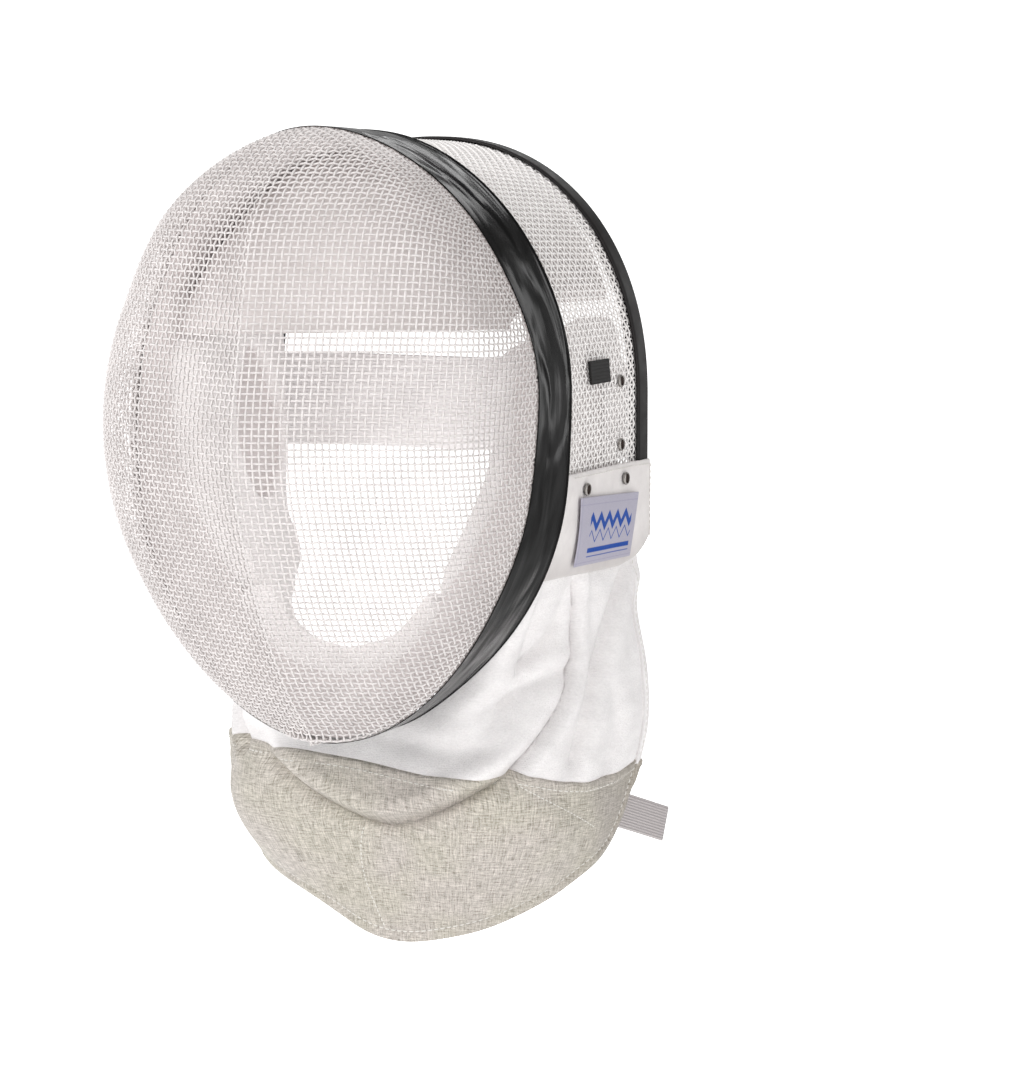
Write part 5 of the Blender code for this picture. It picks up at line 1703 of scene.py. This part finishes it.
webbing.set("Base Color", webbing.blend(shade, (0.33, 0.30, 0.30), (0.60, 0.56, 0.555)))
webbing.set("Normal", webbing.bump(ribs, 0.0005, 0.7, Normal=webbing.bump(picks, 0.0003, 0.5)))
finish(tab, webbing.material, "tab_webbing", "clip_tab")

# %% [markdown]
# ## Floor and light
# The mask is held up as a head would hold it, so the pale floor lies some way below. The
# light is soft and comes from nearly everywhere, as in a white studio: a pale sky does
# most of the work, and large lamps above and to the left give the folds their shape and
# the black band its long reflections. Standard view keeps white as white.

# %% Floor
FLOOR_HALF_WIDTH, FLOOR_Z = 90.0, -0.62
DARK_SIDE = (0.51, 0.82, 0.25)

corners = np.array([(-1, -1), (1, -1), (1, 1), (-1, 1)]) * FLOOR_HALF_WIDTH
floor_mesh = bpy.data.meshes.new("floor")
floor_mesh.from_pydata([(x, y, FLOOR_Z) for x, y in corners.tolist()], [], [(0, 1, 2, 3)])
floor = bpy.data.objects.new("floor", floor_mesh)
bpy.context.scene.collection.objects.link(floor)
paper = Recipe("white_paper_floor", Roughness=0.9, Emission_Strength=1.0)
direction = paper.add("ShaderNodeVectorMath", 0, {"operation": "NORMALIZE"},
                      i0=paper.in_object())
towards_dark = paper.add("ShaderNodeVectorMath", "Value", {"operation": "DOT_PRODUCT"},
                         i0=direction, i1=DARK_SIDE)
darker = paper.span(towards_dark, 0.35, 0.80)
paper.set("Base Color", paper.blend(darker, (0.93, 0.93, 0.93), (0.25, 0.25, 0.25)))
glow = paper.blend(darker, (0.42, 0.42, 0.42), (0.05, 0.05, 0.05))
seen = paper.add("ShaderNodeLightPath", "Is Camera Ray")
paper.set("Emission Color", paper.blend(seen, glow, (1.0, 1.0, 1.0)))
floor.data.materials.append(paper.material)

# %% Lights
LIT_PLACE = np.array([0.0, 0.0, -0.15])
INSIDE_LAMP_RADIUS = 0.04

world = bpy.data.worlds.new("white studio")
bpy.context.scene.world = world
world.use_nodes = True
sky = world.node_tree
where = add_node(sky, "ShaderNodeTexCoord", "Generated")
towards_dark = add_node(sky, "ShaderNodeVectorMath", "Value", {"operation": "DOT_PRODUCT"},
                        i0=where, i1=DARK_SIDE)
strength = add_node(sky, "ShaderNodeMapRange", 0, {"interpolation_type": "SMOOTHSTEP"},
                    i0=towards_dark, i1=0.30, i2=0.85, i3=0.78, i4=0.16)
seen = add_node(sky, "ShaderNodeLightPath", "Is Camera Ray")
shown = add_node(sky, "ShaderNodeMix", "Result", Factor=seen, A=strength, B=1.1)
background = sky.nodes["Background"].inputs
feed(sky, background["Strength"], shown)
feed(sky, background["Color"], (1.0, 1.0, 1.0))


def soft_lamp(name, place, size, power):
    """A rectangular lamp that faces the middle of the mask."""
    lamp = bpy.data.lights.new(name, "AREA")
    lamp.shape, lamp.energy = "RECTANGLE", power
    lamp.size, lamp.size_y = size
    back = unit(np.array(place) - LIT_PLACE)
    stand(name, lamp, unit(np.cross([0.0, 0.0, 1.0], back)), back, place)


soft_lamp("key", (-1.0, -2.5, 1.5), (1.5, 1.1), 44.0)
soft_lamp("side strip", (2.6, -0.5, 0.4), (0.35, 1.5), 15.0)
soft_lamp("side gleam", (1.3, 2.4, 0.25), (0.5, 1.3), 6.0)
soft_lamp("rear strip", (-0.2, 2.5, 1.3), (1.4, 0.3), 5.0)
for name, place, power in (("inside, behind", (0.0, 80.0, -40.0), 0.07),
                           ("inside, above", (0.0, -40.0, 90.0), 0.026),
                           ("inside, at one side", (-70.0, -12.0, 48.0), 0.03),
                           ("inside, below", (0.0, -10.0, -45.0), 0.05)):
    glow = bpy.data.lights.new(name, "POINT")
    glow.energy, glow.shadow_soft_size = power, INSIDE_LAMP_RADIUS
    obj = bpy.data.objects.new(name, glow)
    obj.location = placed(place).tolist()
    obj.visible_camera = False
    bpy.context.scene.collection.objects.link(obj)

view = bpy.context.scene.view_settings
view.view_transform, view.look, view.exposure = "Standard", "None", 0.0
